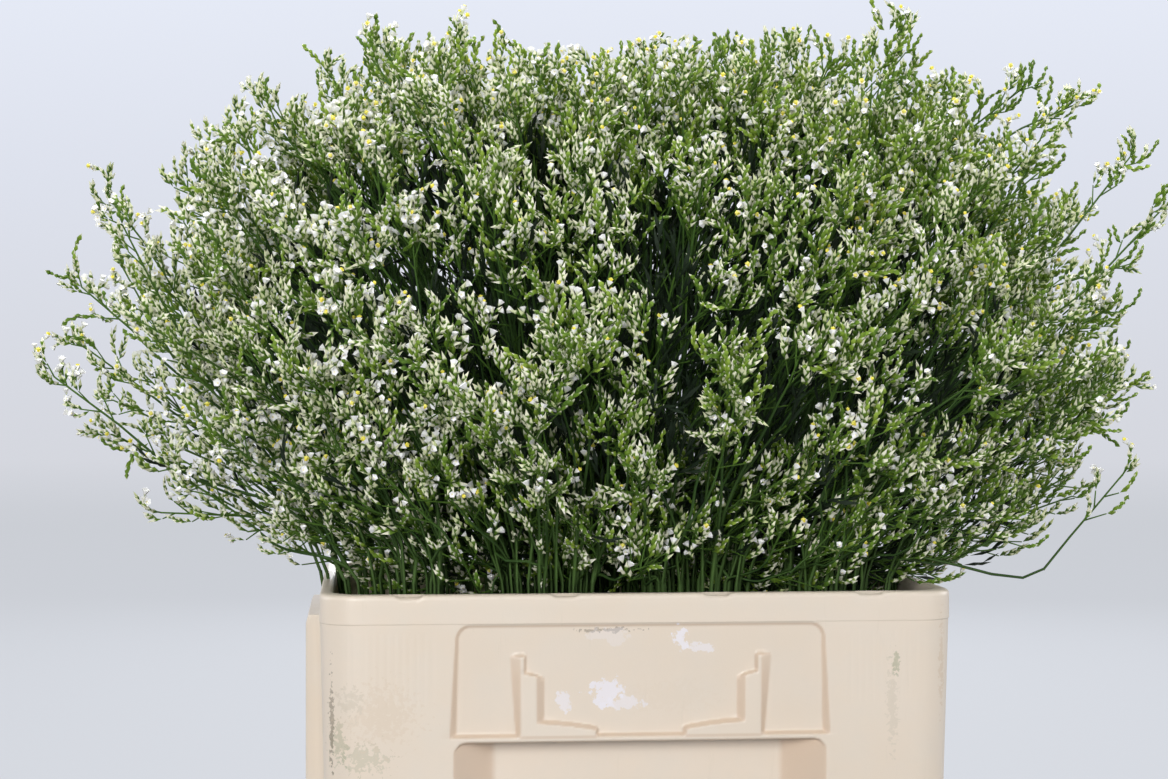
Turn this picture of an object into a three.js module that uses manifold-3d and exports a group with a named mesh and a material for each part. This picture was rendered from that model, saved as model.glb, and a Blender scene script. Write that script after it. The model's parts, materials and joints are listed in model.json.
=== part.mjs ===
// Statice standing in a plastic flower bucket: the bucket, its water and thirteen bunches,
// each one a bundle of stems below the rim and the branching heads that it carries.
// Millimetres, +Z up, origin at the middle of the bucket's underside, the bucket's front facing -Y.
import * as THREE from 'three';
import { mergeVertices } from 'three/addons/utils/BufferGeometryUtils.js';
import Module from 'manifold-3d';

const wasm = await Module();
wasm.setup();

// Bucket
const rimLength = 390;
const rimWidth = 290;
const bucketHeight = 330;
const rimBandHeight = 17.5;
const rimStep = 0.7;
const rimWall = 8;
const wall = 4;
const taperPerSide = 7.5;
const outerCorner = 22;
const innerCorner = 26;
const floorThickness = 4;
const edgeRound = 3;

// How far a cutting solid runs past the face that it cuts, and the wall left behind a recess
const overshoot = 6;
const recessWall = 3.5;

// Steps along a rounded corner and along a curved edge of the holder
const arcSteps = 4;
const curveSteps = 3;

// Card panel and its holder, one set on the front and one on the back
const panelLength = 229;
const panelTop = 308;
const panelBottom = 243;
const panelDepthTop = 1.5;
const panelDepthBottom = 4;
const panelCorner = 9;
const panelInnerCorner = 8;
const panelInnerDrop = 1.5;
const panelInnerRise = 0.5;
const holderLength = 147;
const holderTop = 292;
const holderStepZ = 281.5;
const holderPost = 12;
const holderTab = 2.4;
const holderFoot = 8.5;
const holderGap = 55;
const holderProud = 0.4;
const holderRoot = 1;
const holderSunk = 2;
const holderLean = 2;
const holderStepRound = 5;
const holderRound = 3;
const footFall = 2;

// Large recessed bay below the panel
const bayLength = 228;
const bayTop = 240;
const bayBottom = 45;
const bayDepth = 20;
const bayDraft = 26;
const bayCorner = 8;
const bayTopDraft = 6;

// Grip pads on the short sides
const padReach = 9.5;
const padWidth = 156;
const padTop = 327;
const padBottom = 50;
const padSlope = 19;
const padCorner = 10;

// Scallops along the top of the front and back rims
const scallopPlaces = [-141, -47, 47, 141];
const scallopLength = 18;
const scallopDepth = 1.6;
const scallopSides = 64;

// Clearance between touching pieces, and the water
const clearance = 0.3;
const waterLevel = 75;
const holeSides = 12;
const holeSlack = 0.1;

// Bunches: where each one passes the rim, and how the stems fan out from a point under the water
const rowOffset = 90;
const rowShift = 7;
const rowPlaces = [-138, -47, 45, 136];
const middlePlaces = [-160, -80, 0, 80, 160];
const bunchPlaces = [
  ...rowPlaces.map((x) => [x - rowShift, -rowOffset]),
  ...middlePlaces.map((x) => [x, 0]),
  ...rowPlaces.map((x) => [x + rowShift, rowOffset]),
];
const fanPointZ = 30;
const footPull = 0.86;
const stemRadius = 2.2;
const branchRadius = 1.7;
const cellMargin = 1.6;
const lowestHead = 336;

// Bundle of a bunch's stems: height, radius, and share of the way from its pulled-in place on the floor
// to its place at the rim. The collar that gathers the heads stands on it.
const footRadius = 22;
const bundleTop = 300;
const bundleLevels = [
  [floorThickness + clearance, footRadius, 0],
  [85, 21, 0],
  [178, 15, 0.6],
  [bundleTop, 18, 1],
];
const collarLevels = [
  [bundleTop + clearance, 18, 1],
  [bundleTop + 14, 16, 1],
];
const bundleLobes = 6;
const bundleGroove = 0.82;

// Stems leave the collar at the root radius and pass the rim at the neck radius
const rootRadius = 9;
const rootRise = 4;
const neckRadius = 17;
const neckLift = 1;

// Crown: reach of the dense heads in front view, every 15 degrees from +X round by the top
const crownCentre = new THREE.Vector3(-10, 0, 426);
const frontReach = [
  354, 358, 349, 332, 304, 266, 247, 256, 300, 318, 325, 310,
  267, 235, 208, 160, 120, 100, 95, 100, 125, 170, 240, 325,
];
const frontTips = [
  387, 400, 423, 378, 335, 292, 272, 282, 330, 345, 370, 397,
  360, 280, 235, 180, 130, 110, 100, 110, 135, 190, 265, 350,
];
const depthReach = 270;
const depthTips = 290;
const undercut = 0.32;
const undercutStart = 0.08;
const undercutSpan = 0.36;
const crownSquareness = 2.3;

// Clusters over the crown: how many, how deep they lie, and their size as a share of the crown's reach
const tuftCount = 254;
const tuftNearest = 0.86;
const tuftScatter = 0.17;
const tuftShare = 0.155;
const smallestTuft = 0.88;
const sizeScatter = 0.24;
const tuftSink = 0.85;
const tuftLift = 8;

// Form of one cluster, in shares of its size: rings of its dome, the points drawn out of it, and its funnel
const tuftSides = 6;
const rimRise = -0.12;
const rimRadius = 0.5;
const rimScatter = 0.16;
const middleRise = 0.65;
const middleRadius = 0.36;
const middleScatter = 0.12;
const topRadius = 0.38;
const pointLength = 0.85;
const pointScatter = 0.3;
const throatDrop = 0.5;
const throatShare = 0.4;
const throatTurn = 0.2;
const partingGap = 0.8;

// Sprays sent out past the clusters
const sprayShare = 0.5;
const wispyRatio = 1.2;
const sprayStalk = 1.3;
const sprayHead = 4.2;
const sprayHeadLength = 24;
const sprayFoot = 0.7;
const sprayFree = 0.8;
const spraySlant = 0.6;

// Stems, each of which forks to its clusters
const stemSides = 3;
const tuftsPerStem = 3;
const sharedStemReach = 130;
const forkShare = 0.5;
const forkRadius = 1.2 * branchRadius;
const forkSpare = 0.3;
const shortestStalk = 90;
const goldenAngle = Math.PI * (3 - Math.sqrt(5));

// Seed offsets that keep the scattered sizes of one cluster apart
const sizeSeed = 0.5;
const spraySeed = 0.77;
const rimSeed = 0.1;
const middleSeed = 0.13;
const pointSeed = 0.17;

const weldDistance = 1e-4;
const smallestEdge = 0.02;

const plastic = new THREE.MeshStandardMaterial({ color: '#e6d9c9', roughness: 0.45, metalness: 0 });
const water = new THREE.MeshStandardMaterial({ color: '#c9d6c8', roughness: 0.05, metalness: 0 });
const greenStem = new THREE.MeshStandardMaterial({ color: '#4d6b3c', roughness: 0.7, metalness: 0 });
const statice = new THREE.MeshStandardMaterial({ color: '#b9c7a2', roughness: 0.8, metalness: 0 });

// Solids

function toSolid(geometry) {
  const bare = geometry.clone();
  bare.deleteAttribute('normal');
  bare.deleteAttribute('uv');
  const merged = mergeVertices(bare, weldDistance);
  return new wasm.Manifold(new wasm.Mesh({
    numProp: 3,
    vertProperties: Float32Array.from(merged.attributes.position.array),
    triVerts: Uint32Array.from(merged.index.array),
  }));
}

function toGeometry(solid) {
  const mesh = solid.getMesh();
  const geometry = new THREE.BufferGeometry();
  geometry.setAttribute('position', new THREE.BufferAttribute(mesh.vertProperties, 3));
  geometry.setIndex(new THREE.BufferAttribute(mesh.triVerts, 1));
  geometry.computeVertexNormals();
  return geometry;
}

function join(solids) {
  return wasm.Manifold.union(solids);
}

// The largest body of a joined solid, with its shortest edges merged
function oneBody(solid) {
  const bodies = solid.simplify(smallestEdge).decompose();
  return bodies.reduce((best, body) => (body.volume() > best.volume() ? body : best));
}

// Closed body through rings of equal point counts that wind counterclockwise seen from the last one
function loft(rings) {
  const count = rings[0].length;
  const points = rings.flat();
  const faces = [];
  for (let r = 0; r + 1 < rings.length; r += 1) {
    for (let k = 0; k < count; k += 1) {
      const a = r * count + k;
      const b = r * count + ((k + 1) % count);
      faces.push(a, b, b + count, a, b + count, a + count);
    }
  }
  const caps = [rings[0], rings[rings.length - 1]];
  caps.forEach((ring, end) => {
    const middle = ring.reduce((sum, p) => sum.add(p), new THREE.Vector3()).divideScalar(count);
    points.push(middle);
    const start = end * (rings.length - 1) * count;
    for (let k = 0; k < count; k += 1) {
      const a = start + k;
      const b = start + ((k + 1) % count);
      faces.push(...(end ? [a, b, points.length - 1] : [b, a, points.length - 1]));
    }
  });
  const geometry = new THREE.BufferGeometry().setFromPoints(points);
  geometry.setIndex(faces);
  return toSolid(geometry);
}

function roundedRectangle(length, width, radius) {
  const points = [];
  const corners = [[1, 1], [-1, 1], [-1, -1], [1, -1]];
  corners.forEach(([sx, sy], quarter) => {
    for (let k = 0; k <= arcSteps; k += 1) {
      const turn = (quarter + k / arcSteps) * Math.PI / 2;
      points.push([
        sx * (length / 2 - radius) + radius * Math.cos(turn),
        sy * (width / 2 - radius) + radius * Math.sin(turn),
      ]);
    }
  });
  return points;
}

function levelRing(length, width, radius, z) {
  return roundedRectangle(length, width, radius).map(([x, y]) => new THREE.Vector3(x, y, z));
}

// Distance of the bucket's plain front face from the middle plane at height z
function frontFace(z) {
  return rimWidth / 2 - rimStep - taperPerSide * (1 - z / (bucketHeight - rimBandHeight));
}

// Ring on the front (side -1) or back (side 1) face: an upright rounded rectangle pushed in by depth(z)
function faceRing(side, length, bottom, top, radius, depth) {
  const outline = roundedRectangle(length, top - bottom, radius);
  const middle = (top + bottom) / 2;
  const ring = outline.map(([x, up]) => {
    const z = middle + up;
    return new THREE.Vector3(x, side * (frontFace(z) - depth(z)), z);
  });
  return side < 0 ? ring : ring.reverse();
}

// Bucket

function outerShell() {
  const bandBottom = bucketHeight - rimBandHeight;
  const baseLength = rimLength - 2 * (rimStep + taperPerSide);
  const baseWidth = rimWidth - 2 * (rimStep + taperPerSide);
  return loft([
    levelRing(baseLength - 2 * edgeRound, baseWidth - 2 * edgeRound, outerCorner - edgeRound, 0),
    levelRing(baseLength, baseWidth, outerCorner, edgeRound),
    levelRing(rimLength - 2 * rimStep, rimWidth - 2 * rimStep, outerCorner, bandBottom),
    levelRing(rimLength, rimWidth, outerCorner, bandBottom + rimStep),
    levelRing(rimLength, rimWidth, outerCorner, bucketHeight - edgeRound / 2),
    levelRing(rimLength - edgeRound, rimWidth - edgeRound, outerCorner - edgeRound / 2, bucketHeight),
  ]);
}

// What is hollowed out above the floor, grown outwards by a negative inset
function cavity(inset, topZ) {
  const shoulderZ = bucketHeight - rimBandHeight;
  const baseInset = 2 * (rimStep + taperPerSide + wall + inset);
  const shoulderInset = 2 * (rimStep + wall + inset);
  const mouthInset = 2 * (rimWall + inset);
  const bottomZ = floorThickness + inset;
  const rings = [levelRing(rimLength - baseInset, rimWidth - baseInset, outerCorner - wall, bottomZ)];
  if (topZ < shoulderZ) {
    const share = topZ / shoulderZ;
    const size = (base, shoulder) => base + (shoulder - base) * share;
    const slim = size(baseInset, shoulderInset);
    rings.push(levelRing(rimLength - slim, rimWidth - slim, outerCorner - wall, topZ));
    return loft(rings);
  }
  rings.push(
    levelRing(rimLength - shoulderInset, rimWidth - shoulderInset, outerCorner - wall, shoulderZ),
    levelRing(rimLength - mouthInset, rimWidth - mouthInset, innerCorner, shoulderZ + rimWall),
    levelRing(rimLength - mouthInset, rimWidth - mouthInset, innerCorner, topZ),
  );
  return loft(rings);
}

// The bay as a solid: cut from the outside, and grown by a wall to stand inside the cavity
function bay(side, grow) {
  const slant = bayDraft - grow;
  const length = bayLength + 2 * grow;
  const bottom = bayBottom - grow;
  const top = bayTop + grow;
  const backBottom = bottom + slant / 2;
  const backTop = top - bayTopDraft;
  return loft([
    faceRing(side, length - 2 * slant, backBottom, backTop, bayCorner, () => bayDepth + grow),
    faceRing(side, length, bottom, top, bayCorner, () => 0),
    faceRing(side, length, bottom, top, bayCorner, () => -overshoot),
  ]);
}

function panelDepth(z) {
  const share = (panelTop - z) / (panelTop - panelBottom);
  return panelDepthTop + (panelDepthBottom - panelDepthTop) * share;
}

function panel(side, grow) {
  const length = panelLength + 2 * grow;
  const bottom = panelBottom - grow;
  const top = panelTop + grow;
  const backLength = length - 2 * panelDepthBottom;
  const backBottom = bottom + panelInnerRise;
  const backTop = top - panelInnerDrop;
  const depth = (z) => panelDepth(z) + grow;
  return loft([
    faceRing(side, backLength, backBottom, backTop, panelInnerCorner, depth),
    faceRing(side, length, bottom, top, panelCorner, () => 0),
    faceRing(side, length, bottom, top, panelCorner, () => -overshoot),
  ]);
}

// One L-shaped half of the card holder, hand +1 or -1 along X
function holderHalf(side, hand) {
  const outer = holderLength / 2;
  const post = outer - holderPost;
  const plate = post + holderLean;
  const end = holderGap / 2;
  const bottom = panelBottom - holderSunk;
  const footTop = panelBottom + holderFoot;
  const endTop = footTop - footFall;
  const shape = new THREE.Shape();
  shape.moveTo(outer, bottom);
  shape.lineTo(outer, holderTop);
  shape.lineTo(outer - holderTab, holderTop);
  shape.lineTo(outer - holderTab, holderStepZ);
  shape.quadraticCurveTo(plate, holderStepZ, plate, holderStepZ - holderStepRound);
  shape.lineTo(post, footTop + holderRound);
  shape.quadraticCurveTo(post, footTop, post - holderRound, footTop);
  shape.lineTo(end + holderRound, endTop);
  shape.quadraticCurveTo(end, endTop, end, endTop - holderRound);
  shape.lineTo(end, bottom);
  const thickness = holderProud + panelDepthBottom + holderRoot;
  const settings = { depth: thickness, bevelEnabled: false, curveSegments: curveSteps };
  const body = new THREE.ExtrudeGeometry(shape, settings);
  body.rotateX(Math.PI / 2);
  body.translate(0, holderProud, 0);
  if (side < 0) body.rotateZ(Math.PI);
  const points = body.attributes.position;
  for (let k = 0; k < points.count; k += 1) {
    points.setY(k, points.getY(k) + side * frontFace(points.getZ(k)));
  }
  const half = toSolid(body);
  return hand > 0 ? half : half.mirror([1, 0, 0]);
}

function pad(hand) {
  const middle = (padTop + padBottom) / 2;
  const height = padTop - padBottom;
  const inner = roundedRectangle(padWidth, height, padCorner);
  const outer = roundedRectangle(padWidth - padReach, height - padSlope - padReach, padCorner);
  const ring = (points, x, shift) => points.map(([y, up]) => new THREE.Vector3(x, y, middle + up + shift));
  const body = loft([
    ring(inner, rimLength / 2 - rimStep - wall, 0),
    ring(inner, rimLength / 2 - rimStep, 0),
    ring(outer, rimLength / 2 + padReach, (padReach - padSlope) / 2),
  ]);
  return hand > 0 ? body : body.rotate([0, 0, 180]);
}

function scallop(side, x) {
  const radius = (scallopLength ** 2 / 4 + scallopDepth ** 2) / (2 * scallopDepth);
  const cutter = new THREE.CylinderGeometry(radius, radius, 3 * rimWall, scallopSides);
  cutter.translate(x, side * rimWidth / 2, 0);
  const solid = toSolid(cutter);
  return solid.translate([0, 0, bucketHeight + radius - scallopDepth]);
}

function insideSpace(inset, topZ) {
  const bulges = [-1, 1].flatMap((side) => [
    bay(side, recessWall + inset),
    panel(side, recessWall + inset),
  ]);
  return cavity(inset, topZ).subtract(join(bulges));
}

function makeBucket() {
  const sides = [-1, 1];
  const body = join([outerShell(), pad(1), pad(-1)]);
  const cuts = sides.flatMap((side) => [bay(side, 0), panel(side, 0)]);
  const holders = sides.flatMap((side) => [holderHalf(side, 1), holderHalf(side, -1)]);
  const scallops = sides.flatMap((side) => scallopPlaces.map((x) => scallop(side, x)));
  const solid = join([body.subtract(join(cuts)), ...holders])
    .subtract(join(scallops))
    .subtract(insideSpace(0, bucketHeight + overshoot));
  return oneBody(solid);
}

// Bunch cells: each bunch keeps to its own upright prism below the rim and to a widening cone above it

function spread(z) {
  return Math.max(1, (z - fanPointZ) / (bucketHeight - fanPointZ));
}

const places = bunchPlaces.map(([x, y]) => new THREE.Vector2(x, y));

function nearestBunch(point) {
  const scale = spread(point.z);
  const flat = new THREE.Vector2(point.x / scale, point.y / scale);
  const distances = places.map((place) => place.distanceToSquared(flat));
  return distances.indexOf(Math.min(...distances));
}

// The cell's side planes above the rim, each as a function of a point that is below zero inside
function cellPlanes(index) {
  const here = places[index];
  const rise = bucketHeight - fanPointZ;
  const planes = places.filter((place) => place !== here).map((other) => {
    const normal = other.clone().sub(here).normalize();
    const reach = normal.dot(here.clone().add(other).multiplyScalar(0.5));
    const slope = Math.hypot(1, reach / rise);
    return (p) => (normal.x * p.x + normal.y * p.y - reach * (p.z - fanPointZ) / rise) / slope + cellMargin;
  });
  planes.push((p) => lowestHead - p.z);
  return planes;
}

// A point pulled back towards a start inside the cell until it lies inside too
function keepInside(planes, start, point) {
  let share = 1;
  planes.forEach((plane) => {
    const from = plane(start);
    const to = plane(point);
    if (to > 0) share = Math.min(share, Math.max(0, -from / (to - from)));
  });
  return start.clone().lerp(point, share);
}

// Crown shape

function outlineAt(outline, angle) {
  const step = 2 * Math.PI / outline.length;
  const turn = ((angle / step) % outline.length + outline.length) % outline.length;
  const low = Math.floor(turn);
  const next = outline[(low + 1) % outline.length];
  return outline[low] + (next - outline[low]) * (turn - low);
}

// Distance from the crown's centre to its surface: an outline in front view, rounded off in depth
function crownReach(direction, outline, depth) {
  const front = Math.hypot(direction.x, direction.z);
  const reach = outlineAt(outline, Math.atan2(direction.z, direction.x));
  const lowering = THREE.MathUtils.clamp((undercutStart - direction.z) / undercutSpan, 0, 1);
  const lowDepth = depth * (1 - undercut * lowering);
  const sum = (front / reach) ** crownSquareness + (Math.abs(direction.y) / lowDepth) ** crownSquareness;
  return sum ** (-1 / crownSquareness);
}

// Even directions over the sphere on a golden spiral
function spiralDirection(k, count) {
  const z = 1 - 2 * (k + 0.5) / count;
  const ring = Math.sqrt(1 - z * z);
  return new THREE.Vector3(ring * Math.cos(k * goldenAngle), ring * Math.sin(k * goldenAngle), z);
}

// Repeatable number between 0 and 1 for a whole number
function scatter(seed) {
  const value = Math.sin(seed * 127.1 + 311.7) * 43758.5453;
  return value - Math.floor(value);
}

// Places of the flower clusters, evenly over the crown's surface
function tuftPlaces() {
  const tufts = [];
  for (let seed = 0; seed < tuftCount; seed += 1) {
    const direction = spiralDirection(seed, tuftCount);
    const depth = tuftNearest + tuftScatter * scatter(seed);
    const reach = crownReach(direction, frontReach, depthReach) * depth;
    const tip = crownReach(direction, frontTips, depthTips);
    const size = reach * tuftShare * (smallestTuft + sizeScatter * scatter(seed + sizeSeed));
    const centre = crownCentre.clone().addScaledVector(direction, reach - size * tuftSink);
    const sends = tip > wispyRatio * reach || scatter(seed + spraySeed) < sprayShare;
    const bunch = nearestBunch(centre);
    const rimPlace = new THREE.Vector3(places[bunch].x, places[bunch].y, bucketHeight);
    if (centre.z > lowestHead + tuftLift && centre.distanceTo(rimPlace) > shortestStalk) {
      tufts.push({ bunch, centre, direction, size, seed, tip, sends });
    }
  }
  return tufts;
}

// Statice

// Plane between a cluster and something near it, below zero on the cluster's side
function partingPlane(item, near, share, gap) {
  const normal = near.clone().sub(item.centre);
  const distance = normal.length() * share - gap;
  normal.normalize();
  return (p) => normal.dot(p) - normal.dot(item.centre) - distance;
}

function partingPlanes(item, tufts) {
  const nearestOn = (start, end) => new THREE.Line3(start, end)
    .closestPointToPoint(item.centre, true, new THREE.Vector3());
  return tufts.filter((other) => other !== item).flatMap((other) => {
    const share = item.size / (item.size + other.size);
    return [
      partingPlane(item, other.centre, share, partingGap),
      partingPlane(item, nearestOn(other.from, other.centre), 1, branchRadius + partingGap),
      partingPlane(item, nearestOn(other.neck, other.from), 1, stemRadius + partingGap),
    ];
  });
}

function liesInside(planes, point, margin) {
  return planes.every((plane) => plane(point) < -margin);
}

// Corners of a square-on ring about a line, turned to follow the ring that it grows from
function nextRing(mesh, ring, middle, along, radius) {
  const start = ring.reduce((sum, k) => sum.add(mesh.points[k]), new THREE.Vector3());
  start.divideScalar(ring.length);
  const side = mesh.points[ring[0]].clone().sub(start);
  side.addScaledVector(along, -side.dot(along)).normalize();
  const other = along.clone().cross(side);
  const step = 2 * Math.PI / ring.length;
  const twist = ring.reduce((sum, k, corner) => {
    const offset = mesh.points[k].clone().sub(start);
    const angle = Math.atan2(offset.dot(other), offset.dot(side)) - corner * step;
    return sum + Math.atan2(Math.sin(angle), Math.cos(angle));
  }, 0) / ring.length;
  return ring.map((k, corner) => {
    const angle = twist + corner * step;
    mesh.points.push(middle.clone()
      .addScaledVector(side, radius * Math.cos(angle))
      .addScaledVector(other, radius * Math.sin(angle)));
    return mesh.points.length - 1;
  });
}

// Tube from a ring to a new ring farther along, which it returns
function grow(mesh, ring, middle, along, radius) {
  const next = nextRing(mesh, ring, middle, along, radius);
  ring.forEach((k, corner) => {
    const after = (corner + 1) % ring.length;
    mesh.faces.push(k, ring[after], next[after], k, next[after], next[corner]);
  });
  return next;
}

// Cluster of flower spikes: a low dome on a funnel, with every face of the dome drawn out into a point.
// Every other cluster or so sends one spray out past the crown's surface.
function tuft(mesh, ring, planes, item) {
  const { centre, direction, size, seed } = item;
  const along = centre.clone().sub(item.from).normalize();
  const axis = along.clone().add(direction).normalize();
  const drop = Math.min(throatDrop * size, throatShare * centre.distanceTo(item.from));
  const throatMiddle = centre.clone().addScaledVector(along, -drop);
  const throat = grow(mesh, ring, throatMiddle, along, branchRadius);
  const side = mesh.points[throat[0]].clone().sub(throatMiddle);
  side.addScaledVector(axis, -side.dot(axis)).normalize();
  const other = axis.clone().cross(side);
  const outward = new Map();
  const place = (turn, rise, length) => {
    const out = side.clone().multiplyScalar(Math.cos(turn) * Math.cos(rise));
    out.addScaledVector(other, Math.sin(turn) * Math.cos(rise)).addScaledVector(axis, Math.sin(rise));
    mesh.points.push(keepInside(planes, centre, centre.clone().addScaledVector(out, length * size)));
    outward.set(mesh.points.length - 1, out);
    return mesh.points.length - 1;
  };
  const step = 2 * Math.PI / tuftSides;
  const turns = Array.from({ length: tuftSides }, (_, k) => k * step);
  const rimLengths = turns.map((_, k) => rimRadius + rimScatter * scatter(seed + rimSeed * k));
  const middleLengths = turns.map((_, k) => middleRadius + middleScatter * scatter(seed + middleSeed * k));
  const rim = turns.map((turn, k) => place(turn, rimRise, rimLengths[k]));
  const middle = turns.map((turn, k) => place(turn + step / 2, middleRise, middleLengths[k]));
  const top = place(0, Math.PI / 2, topRadius);
  const next = (k) => (k + 1) % tuftSides;
  rim.forEach((_, k) => {
    const low = throat[Math.floor(k * stemSides / tuftSides + throatTurn)];
    const high = throat[Math.floor((k + 1) * stemSides / tuftSides + throatTurn) % stemSides];
    if (low !== high) mesh.faces.push(low, high, rim[next(k)]);
    mesh.faces.push(low, rim[next(k)], rim[k]);
  });
  const facing = turns.map((_, k) => {
    const out = outward.get(middle[k]).clone().add(outward.get(middle[next(k)])).add(outward.get(top));
    return out.normalize().dot(direction);
  });
  const spray = item.sends ? facing.indexOf(Math.max(...facing)) : -1;
  const raise = (a, b, c, number) => {
    const out = outward.get(a).clone().add(outward.get(b)).add(outward.get(c)).normalize();
    let length = size * (pointLength + pointScatter * scatter(seed + pointSeed * number));
    let base = [a, b, c];
    const far = (item.tip - crownCentre.distanceTo(centre)) / Math.max(spraySlant, out.dot(direction));
    const free = liesInside(planes, centre.clone().addScaledVector(out, far), sprayHead);
    if (number === spray && free && far > sprayFree * size + sprayHeadLength) {
      const at = (distance) => centre.clone().addScaledVector(out, distance);
      length = far;
      base = grow(mesh, base, at(sprayFoot * size), out, sprayStalk);
      base = grow(mesh, base, at(far - sprayHeadLength), out, sprayHead);
    }
    mesh.points.push(keepInside(planes, centre, centre.clone().addScaledVector(out, length)));
    const tip = mesh.points.length - 1;
    mesh.faces.push(base[0], base[1], tip, base[1], base[2], tip, base[2], base[0], tip);
  };
  rim.forEach((_, k) => {
    raise(middle[k], middle[next(k)], top, k);
    raise(rim[k], rim[next(k)], middle[k], k + tuftSides);
    raise(rim[next(k)], middle[next(k)], middle[k], k + 2 * tuftSides);
  });
}

// Faces of a fork's three-sided ring, by the angle where each one starts, so that each branch has its own
function forkFaces(branches) {
  const turn = 2 * Math.PI;
  const count = branches.length;
  if (count === 1) {
    const { angle } = branches[0];
    return [{ start: angle - turn / 6, item: branches[0].item }, { start: angle + turn / 6 },
      { start: angle + turn / 2 }];
  }
  const faces = branches.map(({ item, angle }, k) => {
    const before = branches[(k + count - 1) % count].angle - (k ? 0 : turn);
    return { start: (before + angle) / 2, item };
  });
  if (count === 2) {
    const [first, second] = faces;
    const spare = forkSpare * (second.start - first.start);
    return [{ start: first.start }, { start: first.start + spare, item: first.item }, second];
  }
  return faces;
}

// A stem from the collar through the rim, forking into the stalks of its clusters
function branchingStem(cell, tufts, { group, root, neck, fork }) {
  const mesh = { points: [], faces: [] };
  const along = fork.clone().sub(neck).normalize();
  const side = new THREE.Vector3(1, 0, 0).cross(along).normalize();
  const other = along.clone().cross(side);
  const around = (item) => {
    const offset = item.centre.clone().sub(fork);
    return Math.atan2(offset.dot(other), offset.dot(side));
  };
  const branches = group.map((item) => ({ item, angle: around(item) })).sort((a, b) => a.angle - b.angle);
  const faces = forkFaces(branches);
  const ringAt = (middle, radius) => faces.map(({ start }) => {
    mesh.points.push(middle.clone()
      .addScaledVector(side, radius * Math.cos(start))
      .addScaledVector(other, radius * Math.sin(start)));
    return mesh.points.length - 1;
  });
  const rings = [ringAt(root, stemRadius), ringAt(neck, stemRadius), ringAt(fork, forkRadius)];
  mesh.faces.push(rings[0][2], rings[0][1], rings[0][0]);
  [0, 1].forEach((r) => {
    [0, 1, 2].forEach((k) => {
      const after = (k + 1) % stemSides;
      mesh.faces.push(rings[r][k], rings[r][after], rings[r + 1][after]);
      mesh.faces.push(rings[r][k], rings[r + 1][after], rings[r + 1][k]);
    });
  });
  mesh.points.push(fork.clone().addScaledVector(along, branchRadius));
  const hub = mesh.points.length - 1;
  faces.forEach(({ item }, k) => {
    const face = [rings[2][k], rings[2][(k + 1) % stemSides], hub];
    if (item) {
      tuft(mesh, face, [...cell, ...partingPlanes(item, tufts)], item);
    } else {
      mesh.faces.push(...face);
    }
  });
  const geometry = new THREE.BufferGeometry().setFromPoints(mesh.points);
  geometry.setIndex(mesh.faces);
  return toSolid(geometry);
}

// Stems held tight together, lobed like the stems it stands for, through the given levels
function bundle(place, levels) {
  const bottom = place.clone().multiplyScalar(footPull);
  return loft(levels.map(([z, radius, share]) => {
    const middle = bottom.clone().lerp(place, share);
    return Array.from({ length: 2 * bundleLobes }, (_, k) => {
      const turn = k * Math.PI / bundleLobes;
      const lobe = k % 2 ? radius * bundleGroove : radius;
      return new THREE.Vector3(middle.x + lobe * Math.cos(turn), middle.y + lobe * Math.sin(turn), z);
    });
  }));
}

// Neighbouring clusters that share a stem, the outlying ones gathered first
function shareStems(tufts) {
  const left = [...tufts];
  const groups = [];
  while (left.length) {
    const middle = left.reduce((sum, item) => sum.add(item.centre), new THREE.Vector3());
    middle.divideScalar(left.length);
    left.sort((a, b) => b.centre.distanceTo(middle) - a.centre.distanceTo(middle));
    const first = left.shift();
    left.sort((a, b) => a.centre.distanceTo(first.centre) - b.centre.distanceTo(first.centre));
    const near = left.filter((item) => item.centre.distanceTo(first.centre) < sharedStemReach);
    groups.push([first, ...left.splice(0, Math.min(near.length, tuftsPerStem - 1))]);
  }
  return groups;
}

// The heads of one bunch, gathered in its collar
function makeHeads(index, tufts) {
  const place = places[index];
  const cell = cellPlanes(index);
  const stems = shareStems(tufts).map((group) => {
    const middle = group.reduce((sum, item) => sum.add(item.centre), new THREE.Vector3());
    middle.divideScalar(group.length);
    const scale = spread(middle.z);
    return { group, middle, angle: Math.atan2(middle.y / scale - place.y, middle.x / scale - place.x) };
  });
  stems.sort((a, b) => a.angle - b.angle);
  const solids = [bundle(place, collarLevels)];
  stems.forEach((each, s) => {
    const turn = 2 * Math.PI * s / stems.length + stems[0].angle;
    const at = (radius, z) => new THREE.Vector3(
      place.x + radius * Math.cos(turn), place.y + radius * Math.sin(turn), z);
    each.root = at(rootRadius, bundleTop + rootRise);
    each.neck = at(neckRadius, bucketHeight + neckLift);
    const nearest = Math.min(...each.group.map(({ centre }) => centre.distanceTo(each.neck)));
    const along = each.middle.clone().sub(each.neck).normalize();
    each.fork = each.neck.clone().addScaledVector(along, forkShare * nearest);
    each.group.forEach((item) => Object.assign(item, { neck: each.neck, from: each.fork }));
  });
  stems.forEach((each) => solids.push(branchingStem(cell, tufts, each)));
  return oneBody(join(solids));
}

// Water, with one plain hole for the foot of each bunch

function makeWater() {
  const radius = (footRadius + clearance + holeSlack) / Math.cos(Math.PI / holeSides);
  const holes = places.map((place) => {
    const hole = new THREE.CylinderGeometry(radius, radius, 2 * waterLevel, holeSides);
    hole.rotateX(Math.PI / 2);
    return toSolid(hole).translate([place.x * footPull, place.y * footPull, waterLevel / 2]);
  });
  return oneBody(insideSpace(clearance, waterLevel).subtract(join(holes)));
}

const object = new THREE.Group();

function addMesh(name, solid, material) {
  const mesh = new THREE.Mesh(toGeometry(solid), material.clone());
  mesh.name = name;
  object.add(mesh);
}

addMesh('bucket', makeBucket(), plastic);
addMesh('water', makeWater(), water);

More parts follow.
